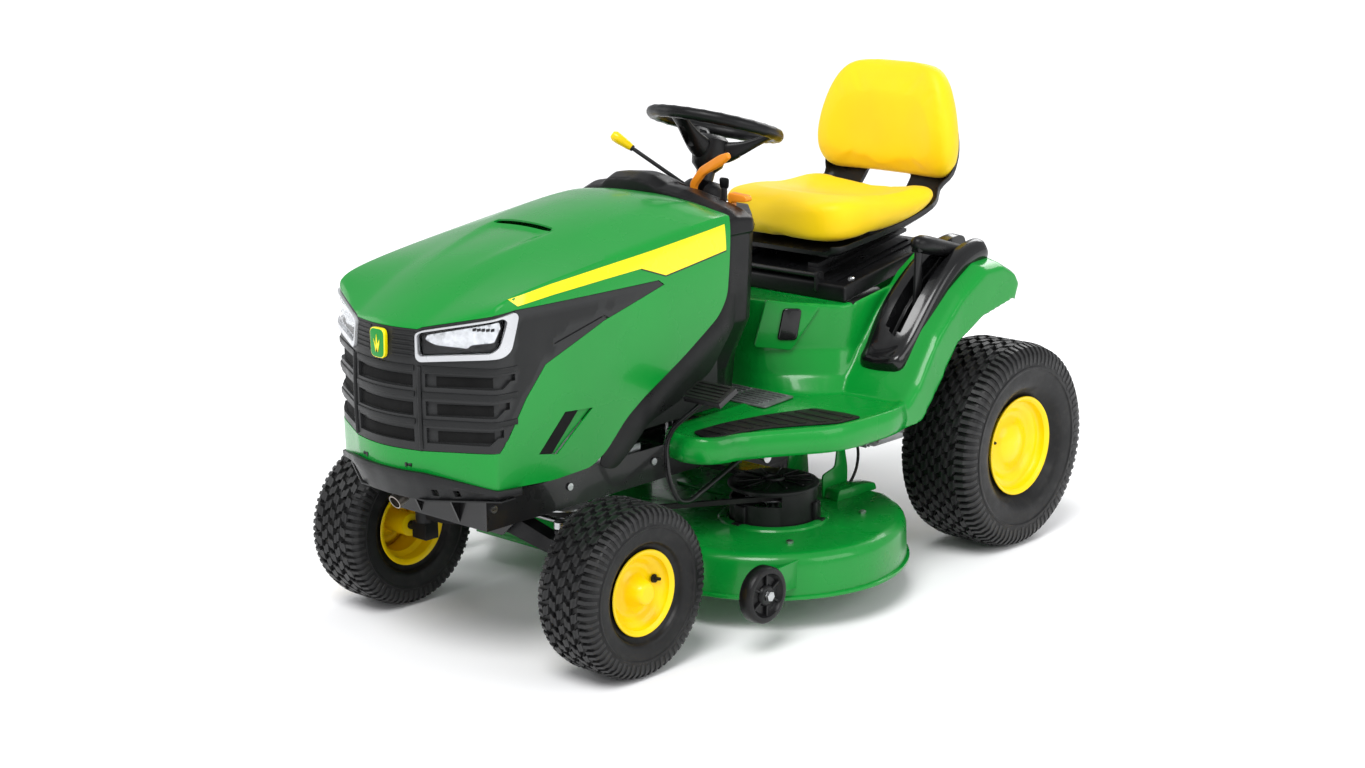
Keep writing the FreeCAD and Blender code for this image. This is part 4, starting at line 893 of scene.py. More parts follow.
def rim_mesh(width, seat, dish_at, centre_out, hub_in):
    """Pressed rim: flanges, drop centre, dished face closed over the hub, and a hub tube behind."""
    half = width / 2
    e = half * 0.83
    barrel = [(-e, seat + 0.0065), (-e + 0.002, seat + 0.008), (-half * 0.77, seat + 0.006),
              (-half * 0.74, seat - 0.001), (-half * 0.42, seat - 0.003), (-half * 0.32, seat - 0.014),
              (half * 0.32, seat - 0.014), (half * 0.42, seat - 0.003), (half * 0.74, seat - 0.001),
              (half * 0.77, seat + 0.006), (e - 0.002, seat + 0.008), (e, seat + 0.0065),
              (e - 0.001, seat + 0.002), (half * 0.79, seat - 0.001), (half * 0.76, seat - 0.004),
              (half * 0.43, seat - 0.006), (half * 0.33, seat - 0.017), (-half * 0.33, seat - 0.017),
              (-half * 0.43, seat - 0.006), (-half * 0.76, seat - 0.004), (-half * 0.79, seat - 0.001),
              (-e + 0.001, seat + 0.002)]
    line = smooth_line([(half * 0.70, seat - 0.004, 0), (half * 0.60, seat - 0.008, 0),
                        (dish_at + 0.010, seat * 0.80, 0), (dish_at, seat * 0.66, 0),
                        (dish_at + 0.004, seat * 0.50, 0), (dish_at + 0.012, seat * 0.40, 0),
                        (centre_out - 0.004, seat * 0.27, 0), (centre_out, seat * 0.10, 0),
                        (centre_out, 0.0001, 0)], 5)
    face = [(p.x, max(p.y, 0.0)) for p in line]
    back = [(a - 0.003, r) for a, r in face[::-1]]
    hub = [(hub_in, 0.0098), (hub_in, 0.026), (dish_at - 0.006, 0.026), (dish_at - 0.004, seat * 0.5),
           (dish_at - 0.008, seat * 0.5), (dish_at - 0.02, 0.031), (dish_at - 0.01, 0.0098)]
    parts = [revolve(barrel, ORIGIN, X_AXIS, 96), revolve(face + back, ORIGIN, X_AXIS, 96),
             revolve(hub, ORIGIN, X_AXIS, 48)]
    return join(parts)


def valve(seat, dish_at, angle):
    """Rubber valve stem standing in a hole of the dish."""
    r = seat * 0.72
    out = Vector((0, math.cos(angle), math.sin(angle)))
    base = Vector((dish_at - 0.004, 0, 0)) + out * r
    stem = tube([base, base + Vector((0.010, 0, 0)), base + Vector((0.020, 0, 0)) + out * 0.003],
                lambda t: 0.0055 - 0.0022 * t, 10, 2)
    grommet = revolve([(0.0, 0.003), (0.004, 0.003), (0.0045, 0.009), (0.0, 0.010)],
                      base + Vector((0.004, 0, 0)), X_AXIS, 16)
    return join([stem, grommet])


def wheels():
    sizes = {"front": (0.184, 0.152, 0.084, 34, 5, 0.030, 0.0745, -0.058, 0.360, FRONT_AXLE_Y, 0.2),
             "rear": (0.248, 0.204, 0.112, 40, 7, 0.048, 0.070, -0.094, 0.397, REAR_AXLE_Y, 2.9)}
    for axle, (radius, width, seat, count, rows, dish, centre, hub, x, y, turn_at) in sizes.items():
        rubber = tyre_mesh(radius, width, seat, count, rows)
        metal = rim_mesh(width, seat, dish, centre, hub)
        stem = valve(seat, dish + 0.004, turn_at)
        for side, sign in (("left", 1), ("right", -1)):
            place = Matrix.Translation((sign * x, y, radius)) @ Matrix.Scale(sign, 4, X_AXIS)
            body = f"{axle}_{side}_wheel"
            piece(f"{axle}_{side}_tread", copy_of(rubber, place), body, TYRE,
                  (f"{axle}_{side}_tyre",), angle=30)
            piece(f"{axle}_{side}_disc", copy_of(metal, place), body, YELLOW,
                  (f"{axle}_{side}_rim",), angle=40)
            piece(f"{axle}_{side}_valve", copy_of(stem, place), body, RUBBER)


# ---- green body -------------------------------------------------------------------------------
BOARD = [(0.170, -0.300), (0.215, -0.330), (0.265, -0.342), (0.318, -0.325), (0.345, -0.285),
         (0.352, -0.240), (0.385, -0.185), (0.430, -0.115), (0.468, -0.055), (0.478, 0.010), (0.478, 0.130),
         (0.470, 0.175), (0.445, 0.240), (0.150, 0.240)]
FENDER_TOP = [(0.205, 0.428), (0.250, 0.480), (0.335, 0.585), (0.430, 0.675), (0.520, 0.724),
              (0.600, 0.722), (0.664, 0.694), (0.682, 0.660)]
FENDER_RIDGE = [(0.210, 0.424), (0.262, 0.462), (0.345, 0.560), (0.445, 0.640), (0.534, 0.689),
                (0.604, 0.690), (0.654, 0.664), (0.670, 0.640)]
FENDER_EDGE = [(0.200, 0.370), (0.273, 0.374), (0.340, 0.432), (0.425, 0.528), (0.520, 0.574),
               (0.600, 0.590), (0.638, 0.598), (0.654, 0.596)]
FENDER_FLARE = (0.021, 0.015, 0.006, 0.0, 0.0, 0.0, 0.0, 0.0)
WALL = 0.005


def fender_volume(margin, floor):
    """Left fender as a solid; with a margin, the space under its skin."""
    rings = []
    for (ty, tz), (ry, rz), (ey, ez), out in zip(FENDER_TOP, FENDER_RIDGE, FENDER_EDGE, FENDER_FLARE):
        m = margin - out
        top = [(0.236 + margin, ty, tz - margin), (0.300, ty, tz - margin)]
        for x, share in ((0.345, 0.40), (0.388, 0.78), (0.418, 0.98)):
            top.append((x - m, ty + (ry - ty) * share,
                        tz + (rz - tz) * share - margin + 0.004 * (1 - share)))
        top += [(0.434 - m, ry, rz - 0.010 - margin), (0.437 - m, ey, ez - floor)]
        rings.append(top + [(0.236 + margin, ey, ez - floor)])
    if margin:
        rings = rings[2:]
        rings[0] = [(x, y + 0.012, z) for x, y, z in rings[0]]
        rings[-1] = [(x, y + 0.001, z) for x, y, z in rings[-1]]
    return loft(between(rings, 4))


def pedestal_volume(margin, z_low):
    """Seat pedestal as a solid; with a margin, the space inside it."""
    levels = [
        (0.424, [(0.128, 0.085), (0.235, 0.118), (0.290, 0.205), (0.300, 0.300), (0.300, 0.693)]),
        (0.462, [(0.095, 0.094), (0.188, 0.150), (0.262, 0.225), (0.272, 0.300), (0.272, 0.693)]),
        (0.520, [(0.088, 0.098), (0.168, 0.158), (0.250, 0.238), (0.260, 0.300), (0.260, 0.693)]),
        (0.615, [(0.104, 0.100), (0.182, 0.166), (0.252, 0.240), (0.260, 0.300), (0.260, 0.693)]),
        (0.700, [(0.112, 0.102), (0.188, 0.170), (0.252, 0.242), (0.260, 0.300), (0.260, 0.693)]),
    ]
    rings = []
    for z, half in levels:
        ring = [(x - margin, y + margin * 0.7) for x, y in half[:-1]]
        ring.append((half[-1][0] - margin, half[-1][1] - margin))
        ring = rounded(ring + [(-x, y) for x, y in ring[::-1]], 0.060, 5)
        rings.append([(x, y, z if z > 0.43 else z_low) for x, y in ring])
    body = loft(rings)
    roof = prism([(0.0, 0.20), (0.0, 0.648 - margin), (0.245, 0.6225 - margin), (0.700, 0.694 - margin),
                  (0.700, 0.20)], "x", -0.4, 0.4)
    return cut(body, [roof], "INTERSECT")


def outline_inset(points, margin):
    """Move a closed outline inwards whichever way round it runs."""
    area = sum(a[0] * b[1] - b[0] * a[1] for a, b in zip(points, points[1:] + points[:1]))
    return shrunk(points, -margin if area > 0 else margin)


def board_layers(corner, *levels):
    """The foot board's outline drawn up through (z, inset) levels."""
    return loft([[(x, y, z) for x, y in rounded(outline_inset(BOARD, m), corner)] for z, m in levels])


def green_body():
    slab = board_layers(0.030, (0.368, 0.010), (0.376, 0.003), (0.392, 0.0), (0.412, 0.002),
                        (0.4255, 0.009))
    shelf = board_layers(0.030, (0.420, 0.004), (0.4295, 0.010))
    raised = cut(shelf, [board_layers(0.026, (0.424, 0.022), (0.440, 0.020))])
    step = prism([(-0.20, -0.150), (0.20, -0.150), (0.20, 0.12), (-0.20, 0.12)], "z", 0.414, 0.4265)
    left = join([slab, raised, fender_volume(0, 0.0)])
    body = join([left, copy_of(left, MIRROR), step, pedestal_volume(0, 0.41)])
    body = moulded(body, 0.0042, 9)
    hollow = board_layers(0.026, (0.30, 0.008), (0.4185, 0.008))
    console_gap = prism([(0.300, 0.500), (0.300, 0.560), (0.420, 0.690), (0.520, 0.760), (0.600, 0.760),
                         (0.600, 0.640), (0.330, 0.460)], "x", 0.304, 0.374)
    rear = prism([(0.262, 0.30), (0.262, 0.80), (0.72, 0.80), (0.685, 0.69), (0.685, 0.30)], "x", -0.2535,
                 0.2535)
    arch = fender_volume(WALL, 0.08)
    tools = [hollow, copy_of(hollow, MIRROR), arch, copy_of(arch, MIRROR), pedestal_volume(WALL, 0.35),
             rear, console_gap, box(-0.033, 0.033, -0.140, -0.050, 0.40, 0.44)]
    body = cut_each(body, tools)
    piece("green_body", body, "chassis", GREEN, ("fender_deck",), angle=38)


def foot_area():
    mat = [(0.252, -0.288), (0.298, -0.306), (0.328, -0.278), (0.334, -0.225), (0.352, -0.160),
           (0.400, -0.085), (0.446, -0.020), (0.452, 0.050), (0.400, 0.052), (0.322, 0.040),
           (0.276, -0.080), (0.254, -0.190)]
    plate = rounded_plate(mat, 0.014, "z", 0.4262, 0.4300, 0.0012, 2)
    ribs = []
    for k in range(9):
        y0 = -0.268 + k * 0.036
        ribs.append(box(0.20, 0.48, y0, y0 + 0.014, 0.4290, 0.4316, 0.0012))
    ribs = cut(join(ribs), [prism(rounded(outline_inset(mat, 0.010), 0.012), "z", 0.42, 0.44)], "INTERSECT")
    piece("foot_pads", both(join([plate, ribs])), "chassis", RUBBER, ("foot_mats",))
    grip_line = [(-0.236, -0.030), (0.236, -0.030), (0.222, 0.092), (-0.222, 0.092)]
    grip = [rounded_plate(grip_line, 0.01, "z", 0.4270, 0.4306, 0.001)]
    for k in range(7):
        y0 = -0.020 + k * 0.016
        for x0 in (-0.212, -0.104, 0.004, 0.112):
            grip.append(box(x0, x0 + 0.098, y0, y0 + 0.007, 0.4295, 0.4330, 0.0012))
    piece("step_grip", join(grip), "chassis", PLATE)
    place = Matrix.Translation((0.1545, 0.1475, 0.582)) @ Matrix.Rotation(math.radians(45), 4, "Z")
    pane_line = rounded([(-0.027, -0.037), (0.019, -0.038), (0.031, 0.037), (-0.013, 0.038)], 0.010)
    window = copy_of(bevel(prism(pane_line, "y", -0.016, 0.004), 0.003, 3), place)
    surround_line = [(-0.052, 0.058), (0.074, 0.040), (0.006, -0.062), (-0.080, -0.052)]
    surround = rounded_plate(surround_line, 0.008, "y", -0.0105, 0.004, 0.003, 3)
    piece("window_surround", copy_of(surround, place), "chassis", GREEN)
    piece("fuel_window", window, "chassis", GLOSS_BLACK)


def console():
    """The height lever's console on the left fender, between its inner and outer rim lines (y, z)."""
    left = [(0.240, 0.483), (0.275, 0.500), (0.305, 0.562), (0.352, 0.617), (0.423, 0.672), (0.495, 0.712),
            (0.575, 0.732), (0.612, 0.724)]
    right = [(0.262, 0.478), (0.296, 0.497), (0.327, 0.524), (0.382, 0.586), (0.446, 0.650), (0.520, 0.700),
             (0.590, 0.716), (0.618, 0.708)]
    rings = []
    left = [(y - 0.004, z + 0.006) for y, z in left]
    right = [(y - 0.010, z + 0.014) for y, z in right]
    for (ly, lz), (ry, rz) in zip(left, right):
        rings.append([(0.278, ly + 0.020, lz - 0.046), (0.279, ly, lz), (0.284, ly - 0.003, lz + 0.012),
                      (0.298, ly - 0.004, lz + 0.017), (0.316, ly - 0.002, lz + 0.013),
                      (0.356, (ly + ry) / 2, (lz + rz) / 2 + 0.013), (0.372, ry - 0.003, rz + 0.019),
                      (0.386, ry - 0.003, rz + 0.015), (0.394, ry, rz), (0.396, ry + 0.020, rz - 0.046)])
    body = subdivided(loft(rings), 2)
    recess = []
    for (ly, lz), (ry, rz) in zip(left[2:-1], right[2:-1]):
        y, z = (ly + ry) / 2, (lz + rz) / 2
        recess.append([(0.318, y - 0.020, z + 0.040), (0.361, y - 0.020, z + 0.040),
                       (0.356, y + 0.008, z - 0.008), (0.322, y + 0.008, z - 0.008)])
    lows = [Vector(ring[2]).lerp(Vector(ring[3]), 0.5) for ring in recess]
    corners = ((0.314, 0.010, 0.016), (0.362, 0.010, 0.016), (0.362, 0.014, 0.022), (0.314, 0.014, 0.022))
    floor = loft([[(x, low.y + dy, low.z - dz) for x, dy, dz in corners] for low in lows])
    body = cut(body, [bevel(loft(recess), 0.003, 2)])
    slot = [(0.298, 0.40), (0.298, 0.80), (0.440, 0.80), (0.440, 0.40)]
    body = cut(body, [prism(slot, "x", 0.331, 0.349),
                      prism([(0.395, 0.735), (0.662, 0.664), (0.662, 0.80), (0.380, 0.80)], "x", 0.320,
                            0.360)])
    body = join([body, cut(floor, [prism(slot, "x", 0.333, 0.347)])])
    piece("lever_console", body, "chassis", GLOSS_BLACK, ("lift_console",), angle=40)


# ---- dash -------------------------------------------------------------------------------------
STEERING_CENTRE = Vector((0, 0.072, 1.039))
STEERING_AXIS = Vector((0, 0.2976, 0.9547))


def dash():
    rings = []
    for z, wide, back_x, back_y in ((0.424, 0.150, 0.105, 0.004), (0.520, 0.165, 0.110, 0.012),
                                    (0.640, 0.226, 0.120, 0.024), (0.740, 0.232, 0.126, 0.038),
                                    (0.840, 0.236, 0.128, 0.050), (0.872, 0.235, 0.122, 0.046)):
        half = [(0.0, -0.146), (wide, -0.146), (wide, -0.080), (wide - 0.012, -0.055), (back_x, back_y),
                (0.0, back_y + 0.004)]
        rings.append(mirrored_ring(half, lambda x, y: (x, y, z)))
    tower = loft(rings)
    top_rows = []
    for y, crown in ((-0.150, 0.924), (-0.120, 0.931), (-0.070, 0.924), (-0.010, 0.900), (0.035, 0.876),
                     (0.046, 0.864)):
        taper = 1.0 if y < -0.06 else 1.0 - (y + 0.06) / 0.105 * 0.42
        half = [(0.0, crown), (0.08, crown - 0.010), (0.150, crown - 0.024), (0.205, crown - 0.038),
                (0.238, crown - 0.056), (0.240, 0.840)]
        ring = [(x * taper, y, z) for x, z in half]
        top_rows.append(ring + [(-x, yy, z) for x, yy, z in ring[::-1]])
    cap = loft(top_rows)
    bump = []
    for y, drop, narrow in ((-0.152, 0.012, 0.006), (-0.122, 0.0, 0.0), (-0.085, 0.002, 0.004),
                            (-0.040, 0.022, 0.020)):
        crest = [(-0.240, 0.860), (-0.238, 0.892), (-0.196, 0.915), (-0.150, 0.924), (-0.132, 0.942),
                 (-0.045, 0.949), (-0.010, 0.944), (0.030, 0.928), (0.040, 0.860)]
        bump.append([(x * (1 - narrow * 2), y, z - drop * (z > 0.87)) for x, z in rounded(crest, 0.010)])
    bump = loft(bump)
    column_foot = revolve([(0.0, 0.0), (0.0, 0.062), (0.035, 0.050), (0.048, 0.036), (0.048, 0.0)],
                          Vector((0, 0.024, 0.866)), STEERING_AXIS, 32)
    body = moulded(join([tower, cap, bump, column_foot]), 0.0040, 5)
    skirt = rounded([(-0.120, 0.760), (-0.146, 0.760), (-0.160, 0.700), (-0.172, 0.664), (-0.300, 0.588),
                     (-0.436, 0.522), (-0.488, 0.488), (-0.540, 0.438), (-0.553, 0.402), (-0.505, 0.386),
                     (-0.440, 0.432), (-0.400, 0.468), (-0.300, 0.498), (-0.200, 0.545), (-0.120, 0.640)],
                    0.02)
    wing = bevel(prism(skirt, "x", 0.2265, 0.2300), 0.001)
    spill = prism([(-0.150, 0.45), (-0.150, 0.72), (-0.30, 0.600), (-0.44, 0.53), (-0.44, 0.445),
                   (-0.40, 0.445)], "x", 0.200, 0.2015)
    shaft_bore = rod(-0.6, 0.3, 0.0103, STEERING_CENTRE, STEERING_AXIS, 32)
    drops = (-0.05, 0, 0, 0, 0, -0.004)
    inside = loft([[(x * 0.97, y * 0.96 - 0.002, z + drop) for x, y, z in ring]
                   for ring, drop in zip(rings, drops)])
    tools = [inside, shaft_bore]
    for x0, x1, y0, y1 in ((-0.070, -0.028, -0.020, 0.066), (0.014, 0.034, -0.070, 0.012),
                           (0.148, 0.166, -0.080, -0.020)):
        tools.append(prism([(x0, y0), (x1, y0), (x1, y1), (x0, y1)], "z", 0.83, 0.96))
    tools.append(box(0.012, 0.068, -0.078, -0.010, 0.903, 0.97))
    tools.append(rod(-0.1, 0.1, 0.0073, Vector((0.118, -0.030, 0.9)), Z_AXIS, 24))
    body = cut_each(body, tools)
    body = join([body, wing, copy_of(wing, MIRROR), spill, copy_of(spill, MIRROR)])
    piece("dash_shell", body, "chassis", BLACK, ("dash_tower",), angle=38)
    ring = revolve([(0, 0.0080), (0.004, 0.0080), (0.005, 0.0135), (0, 0.0150)],
                   Vector((0.118, -0.030, 0.884)), Z_AXIS, 24)
    boot = revolve([(0, 0.010), (0.010, 0.012), (0.014, 0.020), (0, 0.024)], Vector((0.118, -0.030, 0.872)),
                   Z_AXIS, 20)
    piece("key_bezel", join([ring, boot]), "chassis", CHROME)


# ---- controls ---------------------------------------------------------------------------------
def steering_wheel():
    place = Matrix.Translation(STEERING_CENTRE) @ Matrix.Rotation(math.radians(-17.31), 4, "X")
    rim = []
    for k in range(96):
        angle = 2 * math.pi * k / 96
        grip = 0.0135 + 0.0008 * math.cos(12 * angle) ** 8
        ring = []
        for j in range(16):
            b = 2 * math.pi * j / 16
            r = 0.146 + grip * math.cos(b)
            ring.append((r * math.cos(angle), r * math.sin(angle),
                         grip * 1.02 * math.sin(b) - 0.0010 * (math.cos(b) < -0.6)))
        rim.append(ring)
    bm = bmesh.new()
    rows = [[bm.verts.new(p) for p in ring] for ring in rim]
    for a, b in zip(rows, rows[1:] + rows[:1]):
        for j in range(16):
            bm.faces.new((a[j], a[(j + 1) % 16], b[(j + 1) % 16], b[j]))
    bmesh.ops.recalc_face_normals(bm, faces=bm.faces)
    hub = revolve([(-0.112, 0.0), (-0.112, 0.020), (-0.096, 0.036), (-0.060, 0.042), (-0.036, 0.040),
                   (-0.026, 0.028), (-0.024, 0.0)], ORIGIN, Z_AXIS, 40)
    spokes = []
    for angle in (35, 145, 270):
        wide = 0.030 if angle == 270 else 0.026
        top = [(0.018, -0.036), (0.060, -0.034), (0.100, -0.014), (0.132, 0.002), (0.142, 0.004)]
        low = [(0.018, -0.100), (0.060, -0.078), (0.102, -0.036), (0.134, -0.010), (0.146, -0.006)]
        rings = []
        for (tx, tz), (lx, lz), w in zip(top, low, (wide * 1.1, wide, wide * 0.8, wide * 0.85, wide * 1.2)):
            rings.append([(tx, -w, tz - 0.004), (tx, -w * 0.6, tz), (tx, w * 0.6, tz), (tx, w, tz - 0.004),
                          (lx, w * 0.7, lz), (lx, -w * 0.7, lz)])
        spoke = subdivided(loft(rings), 2)
        window = prism([(0.070, -0.011), (0.112, -0.008), (0.112, 0.008), (0.070, 0.011)], "z", -0.12, 0.05)
        spoke = cut(spoke, [window])
        spokes.append(turn(spoke, ORIGIN, "Z", angle))
    wheel = join([bm, hub] + spokes)
    bmesh.ops.transform(wheel, matrix=place, verts=wheel.verts)
    shaft = rod(-0.565, -0.080, 0.0094, STEERING_CENTRE, STEERING_AXIS, 24)
    sleeve = revolve([(-0.150, 0.0094), (-0.150, 0.019), (-0.108, 0.022), (-0.100, 0.020),
                      (-0.100, 0.0094)], STEERING_CENTRE, STEERING_AXIS, 32)
    arc = [math.pi * k / 12 for k in range(13)]
    ball = revolve([(0.016 * math.cos(b), 0.016 * math.sin(b)) for b in arc], Vector((0, -0.096, 0.500)),
                   STEERING_AXIS, 24)
    piece("wheel_grip", join([wheel, sleeve]), "steering_wheel", BLACK,
          ("steering_wheel",), angle=40)
    piece("wheel_shaft", join([shaft, ball]), "steering_wheel", STEEL)


def hand_controls():
    blade = prism(rounded([(0.016, 0.872), (0.032, 0.872), (0.034, 0.912), (0.060, 0.940), (0.108, 0.964),
                           (0.136, 0.986), (0.130, 0.998), (0.106, 0.990), (0.048, 0.957), (0.018, 0.920)],
                          0.008), "y", -0.036, -0.024)
    piece("throttle_handle", bevel(blade, 0.003, 3), "throttle_lever", ORANGE,
          ("throttle_lever",))
    base, tip = Vector((-0.046, 0.046, 0.884)), Vector((-0.211, -0.050, 1.011))
    along = (tip - base).normalized()
    piece("pto_stem", tube([base, tip - along * 0.03], 0.005, 12, 1), "pto_lever", BLACK_PAINT,
          ("pto_lever",))
    knob = revolve([(-0.056, 0.0), (-0.055, 0.008), (-0.048, 0.0095), (-0.020, 0.0125), (-0.008, 0.0125),
                    (-0.001, 0.008), (0.0, 0.0)], tip, along, 28)
    piece("pto_knob", knob, "pto_lever", YELLOW)
    collar = revolve([(-0.060, 0.004), (-0.060, 0.0075), (-0.050, 0.0075), (-0.050, 0.004)], tip, along, 24)
    piece("pto_collar", collar, "pto_lever", BLACK)
    brake = prism(rounded([(0.152, 0.866), (0.162, 0.866), (0.164, 0.894), (0.206, 0.897), (0.210, 0.906),
                           (0.204, 0.911), (0.156, 0.914)], 0.005), "y", -0.060, -0.040)
    piece("park_brake_handle", bevel(brake, 0.003, 3), "park_brake_lever", ORANGE,
          ("park_brake_lever",))
    key = join([revolve([(0, 0.0), (0, 0.0068), (0.030, 0.0068), (0.032, 0.0)],
                        Vector((0.118, -0.030, 0.886)), Z_AXIS, 20),
                rounded_plate([(0.106, 0.915), (0.130, 0.915), (0.132, 0.940), (0.104, 0.940)], 0.008, "y",
                              -0.032, -0.028, 0.001)])
    piece("key_blade", key, "ignition_key", BLACK, ("ignition_key",))


PEDAL_PADS = (("brake_pad", "brake_pedal", (0.346, -0.334, 0.536), 0.052, 0.030, 5),
              ("forward_pad", "forward_pedal", (-0.300, -0.330, 0.530), 0.036, 0.042, 5),
              ("reverse_pad", "reverse_pedal", (-0.3590, -0.345, 0.474), 0.0145, 0.024, 4))


def pedals():
    for name, body, centre, hx, hy, ribs in PEDAL_PADS:
        x, y, z = centre
        sole = [(x - hx, y - hy), (x + hx, y - hy), (x + hx, y + hy), (x - hx, y + hy)]
        parts = [rounded_plate(sole, min(0.012, hx * 0.7), "z", z + 0.0055, z + 0.0095, 0.0015)]
        rim = min(0.008, hx * 0.3)
        for k in range(ribs):
            yy = y - hy + 0.008 + k * (2 * hy - 0.016) / (ribs - 1)
            parts.append(box(x - hx + rim, x + hx - rim, yy - 0.0022, yy + 0.0022, z + 0.009, z + 0.0125,
                             0.0008))
        pad = turn(join(parts), centre, "X", 24)
        piece(name, pad, body, RUBBER)


# ---- seat -------------------------------------------------------------------------------------
PAD_VOXEL = 0.0065
PAD_PRESSURE = 3.0
CLOTH_STEPS = 14


def puffed(bm, reach):
    """Blow the form up gently as stuffed vinyl, with no point moving further than reach."""
    ob = as_object(moulded(bm, PAD_VOXEL, 6), "pad")
    start = [v.co.copy() for v in ob.data.vertices]
    cloth = ob.modifiers.new("stuffing", "CLOTH")
    cloth.settings.quality = 6
    cloth.settings.use_pressure = True
    cloth.settings.uniform_pressure_force = PAD_PRESSURE
    cloth.settings.tension_stiffness = 40
    cloth.settings.compression_stiffness = 40
    cloth.settings.bending_stiffness = 18
    cloth.settings.effector_weights.gravity = 0
    cloth.collision_settings.use_collision = False
    scene = bpy.context.scene
    for step in range(1, CLOTH_STEPS + 1):
        scene.frame_set(step)
    graph = bpy.context.evaluated_depsgraph_get()
    moved = [v.co.copy() for v in ob.evaluated_get(graph).data.vertices]
    scene.frame_set(1)
    ob.modifiers.clear()
    for vertex, old, new in zip(ob.data.vertices, start, moved):
        shift = new - old
        vertex.co = old + shift * min(1.0, reach / max(shift.length, 1e-6))
    soften = ob.modifiers.new("soften", "SMOOTH")
    soften.factor = 0.5
    soften.iterations = 3
    return subdivided(baked(ob), 1)


def seat_cushion():
    # y, underside, bolster top, centre top, half-width
    stations = [
        (0.272, 0.762, 0.822, 0.824, 0.105), (0.283, 0.752, 0.838, 0.842, 0.155),
        (0.309, 0.748, 0.848, 0.850, 0.188),
        (0.352, 0.751, 0.850, 0.844, 0.206), (0.420, 0.759, 0.845, 0.830, 0.211),
        (0.500, 0.767, 0.836, 0.817, 0.211),
        (0.570, 0.779, 0.838, 0.812, 0.211), (0.625, 0.796, 0.848, 0.815, 0.208),
        (0.662, 0.810, 0.850, 0.820, 0.190),
        (0.680, 0.818, 0.834, 0.824, 0.160),
    ]
    rings = []
    for y, low, crest, middle, half in stations:
        mid = (low + crest) / 2
        side = [(0.0, low), (half * 0.80, low), (half * 0.96, low + 0.008), (half, mid),
                (half * 0.97, crest - 0.012), (half * 0.88, crest),
                (half * 0.70, crest - 0.35 * (crest - middle)), (half * 0.40, middle), (0.0, middle)]
        rings.append(mirrored_ring(side, lambda x, z: (x, y, z)))
    body = puffed(subdivided(loft(rings), 2), 0.006)
    pad = piece("seat_pad", body, "seat", VINYL, ("seat_cushion",), angle=60)


def backrest():
    # z, half-width, front at the bolsters, front at the middle, back
    stations = [
        (0.846, 0.158, 0.706, 0.708, 0.732), (0.854, 0.188, 0.690, 0.699, 0.738),
        (0.885, 0.209, 0.674, 0.692, 0.745),
        (0.930, 0.213, 0.668, 0.690, 0.751), (0.985, 0.204, 0.672, 0.691, 0.757),
        (1.040, 0.188, 0.682, 0.694, 0.762),
        (1.085, 0.168, 0.696, 0.702, 0.764), (1.114, 0.142, 0.711, 0.713, 0.763),
        (1.126, 0.104, 0.727, 0.727, 0.757),
    ]
    rings = []
    for z, half, front, middle, back in stations:
        side = [(0.0, middle), (half * 0.45, middle), (half * 0.72, front + 0.4 * (middle - front)),
                (half * 0.90, front), (half * 0.985, front + 0.014), (half, (front + back) / 2),
                (half * 0.96, back - 0.010), (half * 0.84, back), (0.0, back)]
        rings.append(mirrored_ring(side, lambda x, y: (x, y, z)))
    body = puffed(subdivided(loft(rings), 2), 0.005)
    pad = piece("back_pad", body, "seat", VINYL, ("seat_backrest",), angle=60)


def seat_shell():
    line = smooth_line([(0, 0.276, 0.729), (0, 0.330, 0.734), (0, 0.450, 0.748), (0, 0.560, 0.766),
                        (0, 0.655, 0.794), (0, 0.716, 0.848), (0, 0.747, 0.920), (0, 0.766, 1.010),
                        (0, 0.774, 1.086)], 5)
    rings = []
    last = len(line) - 1
    for i, p in enumerate(line):
        along = (line[min(i + 1, last)] - line[max(i - 1, 0)]).normalized()
        out = Vector((0, -along.z, along.y))
        t = i / last
        waist = 0.020 * math.exp(-((p.z - 0.825) / 0.022) ** 2)
        half = 0.197 - waist - 0.072 * max(0.0, (p.z - 0.90) / 0.186) ** 1.5
        half -= 0.02 * max(0.0, (0.06 - t) / 0.06) ** 2
        section = [(0.0, 0.0), (half * 0.5, 0.0), (half * 0.88, 0.001), (half * 0.97, 0.007), (half, 0.016),
                   (half + 0.003, 0.016), (half + 0.002, 0.003), (half * 0.93, -0.008),
                   (half * 0.5, -0.010), (0.0, -0.010)]
        rings.append(mirrored_ring(section, lambda x, lift: p + out * lift + Vector((x, 0, 0))))
    body = loft(rings)
    gap = prism(rounded([(-0.074, 0.775), (-0.070, 0.852), (0.070, 0.852), (0.074, 0.775)], 0.008), "y",
                0.60, 0.80)
    body = cut(body, [gap])
    feet = prism([(0.330, 0.7052), (0.330, 0.730), (0.450, 0.744), (0.560, 0.762), (0.560, 0.7460)], "x",
                 0.095, 0.125)
    piece("seat_pan", join([body, both(feet)]), "seat", BLACK, ("seat_shell",), angle=50)


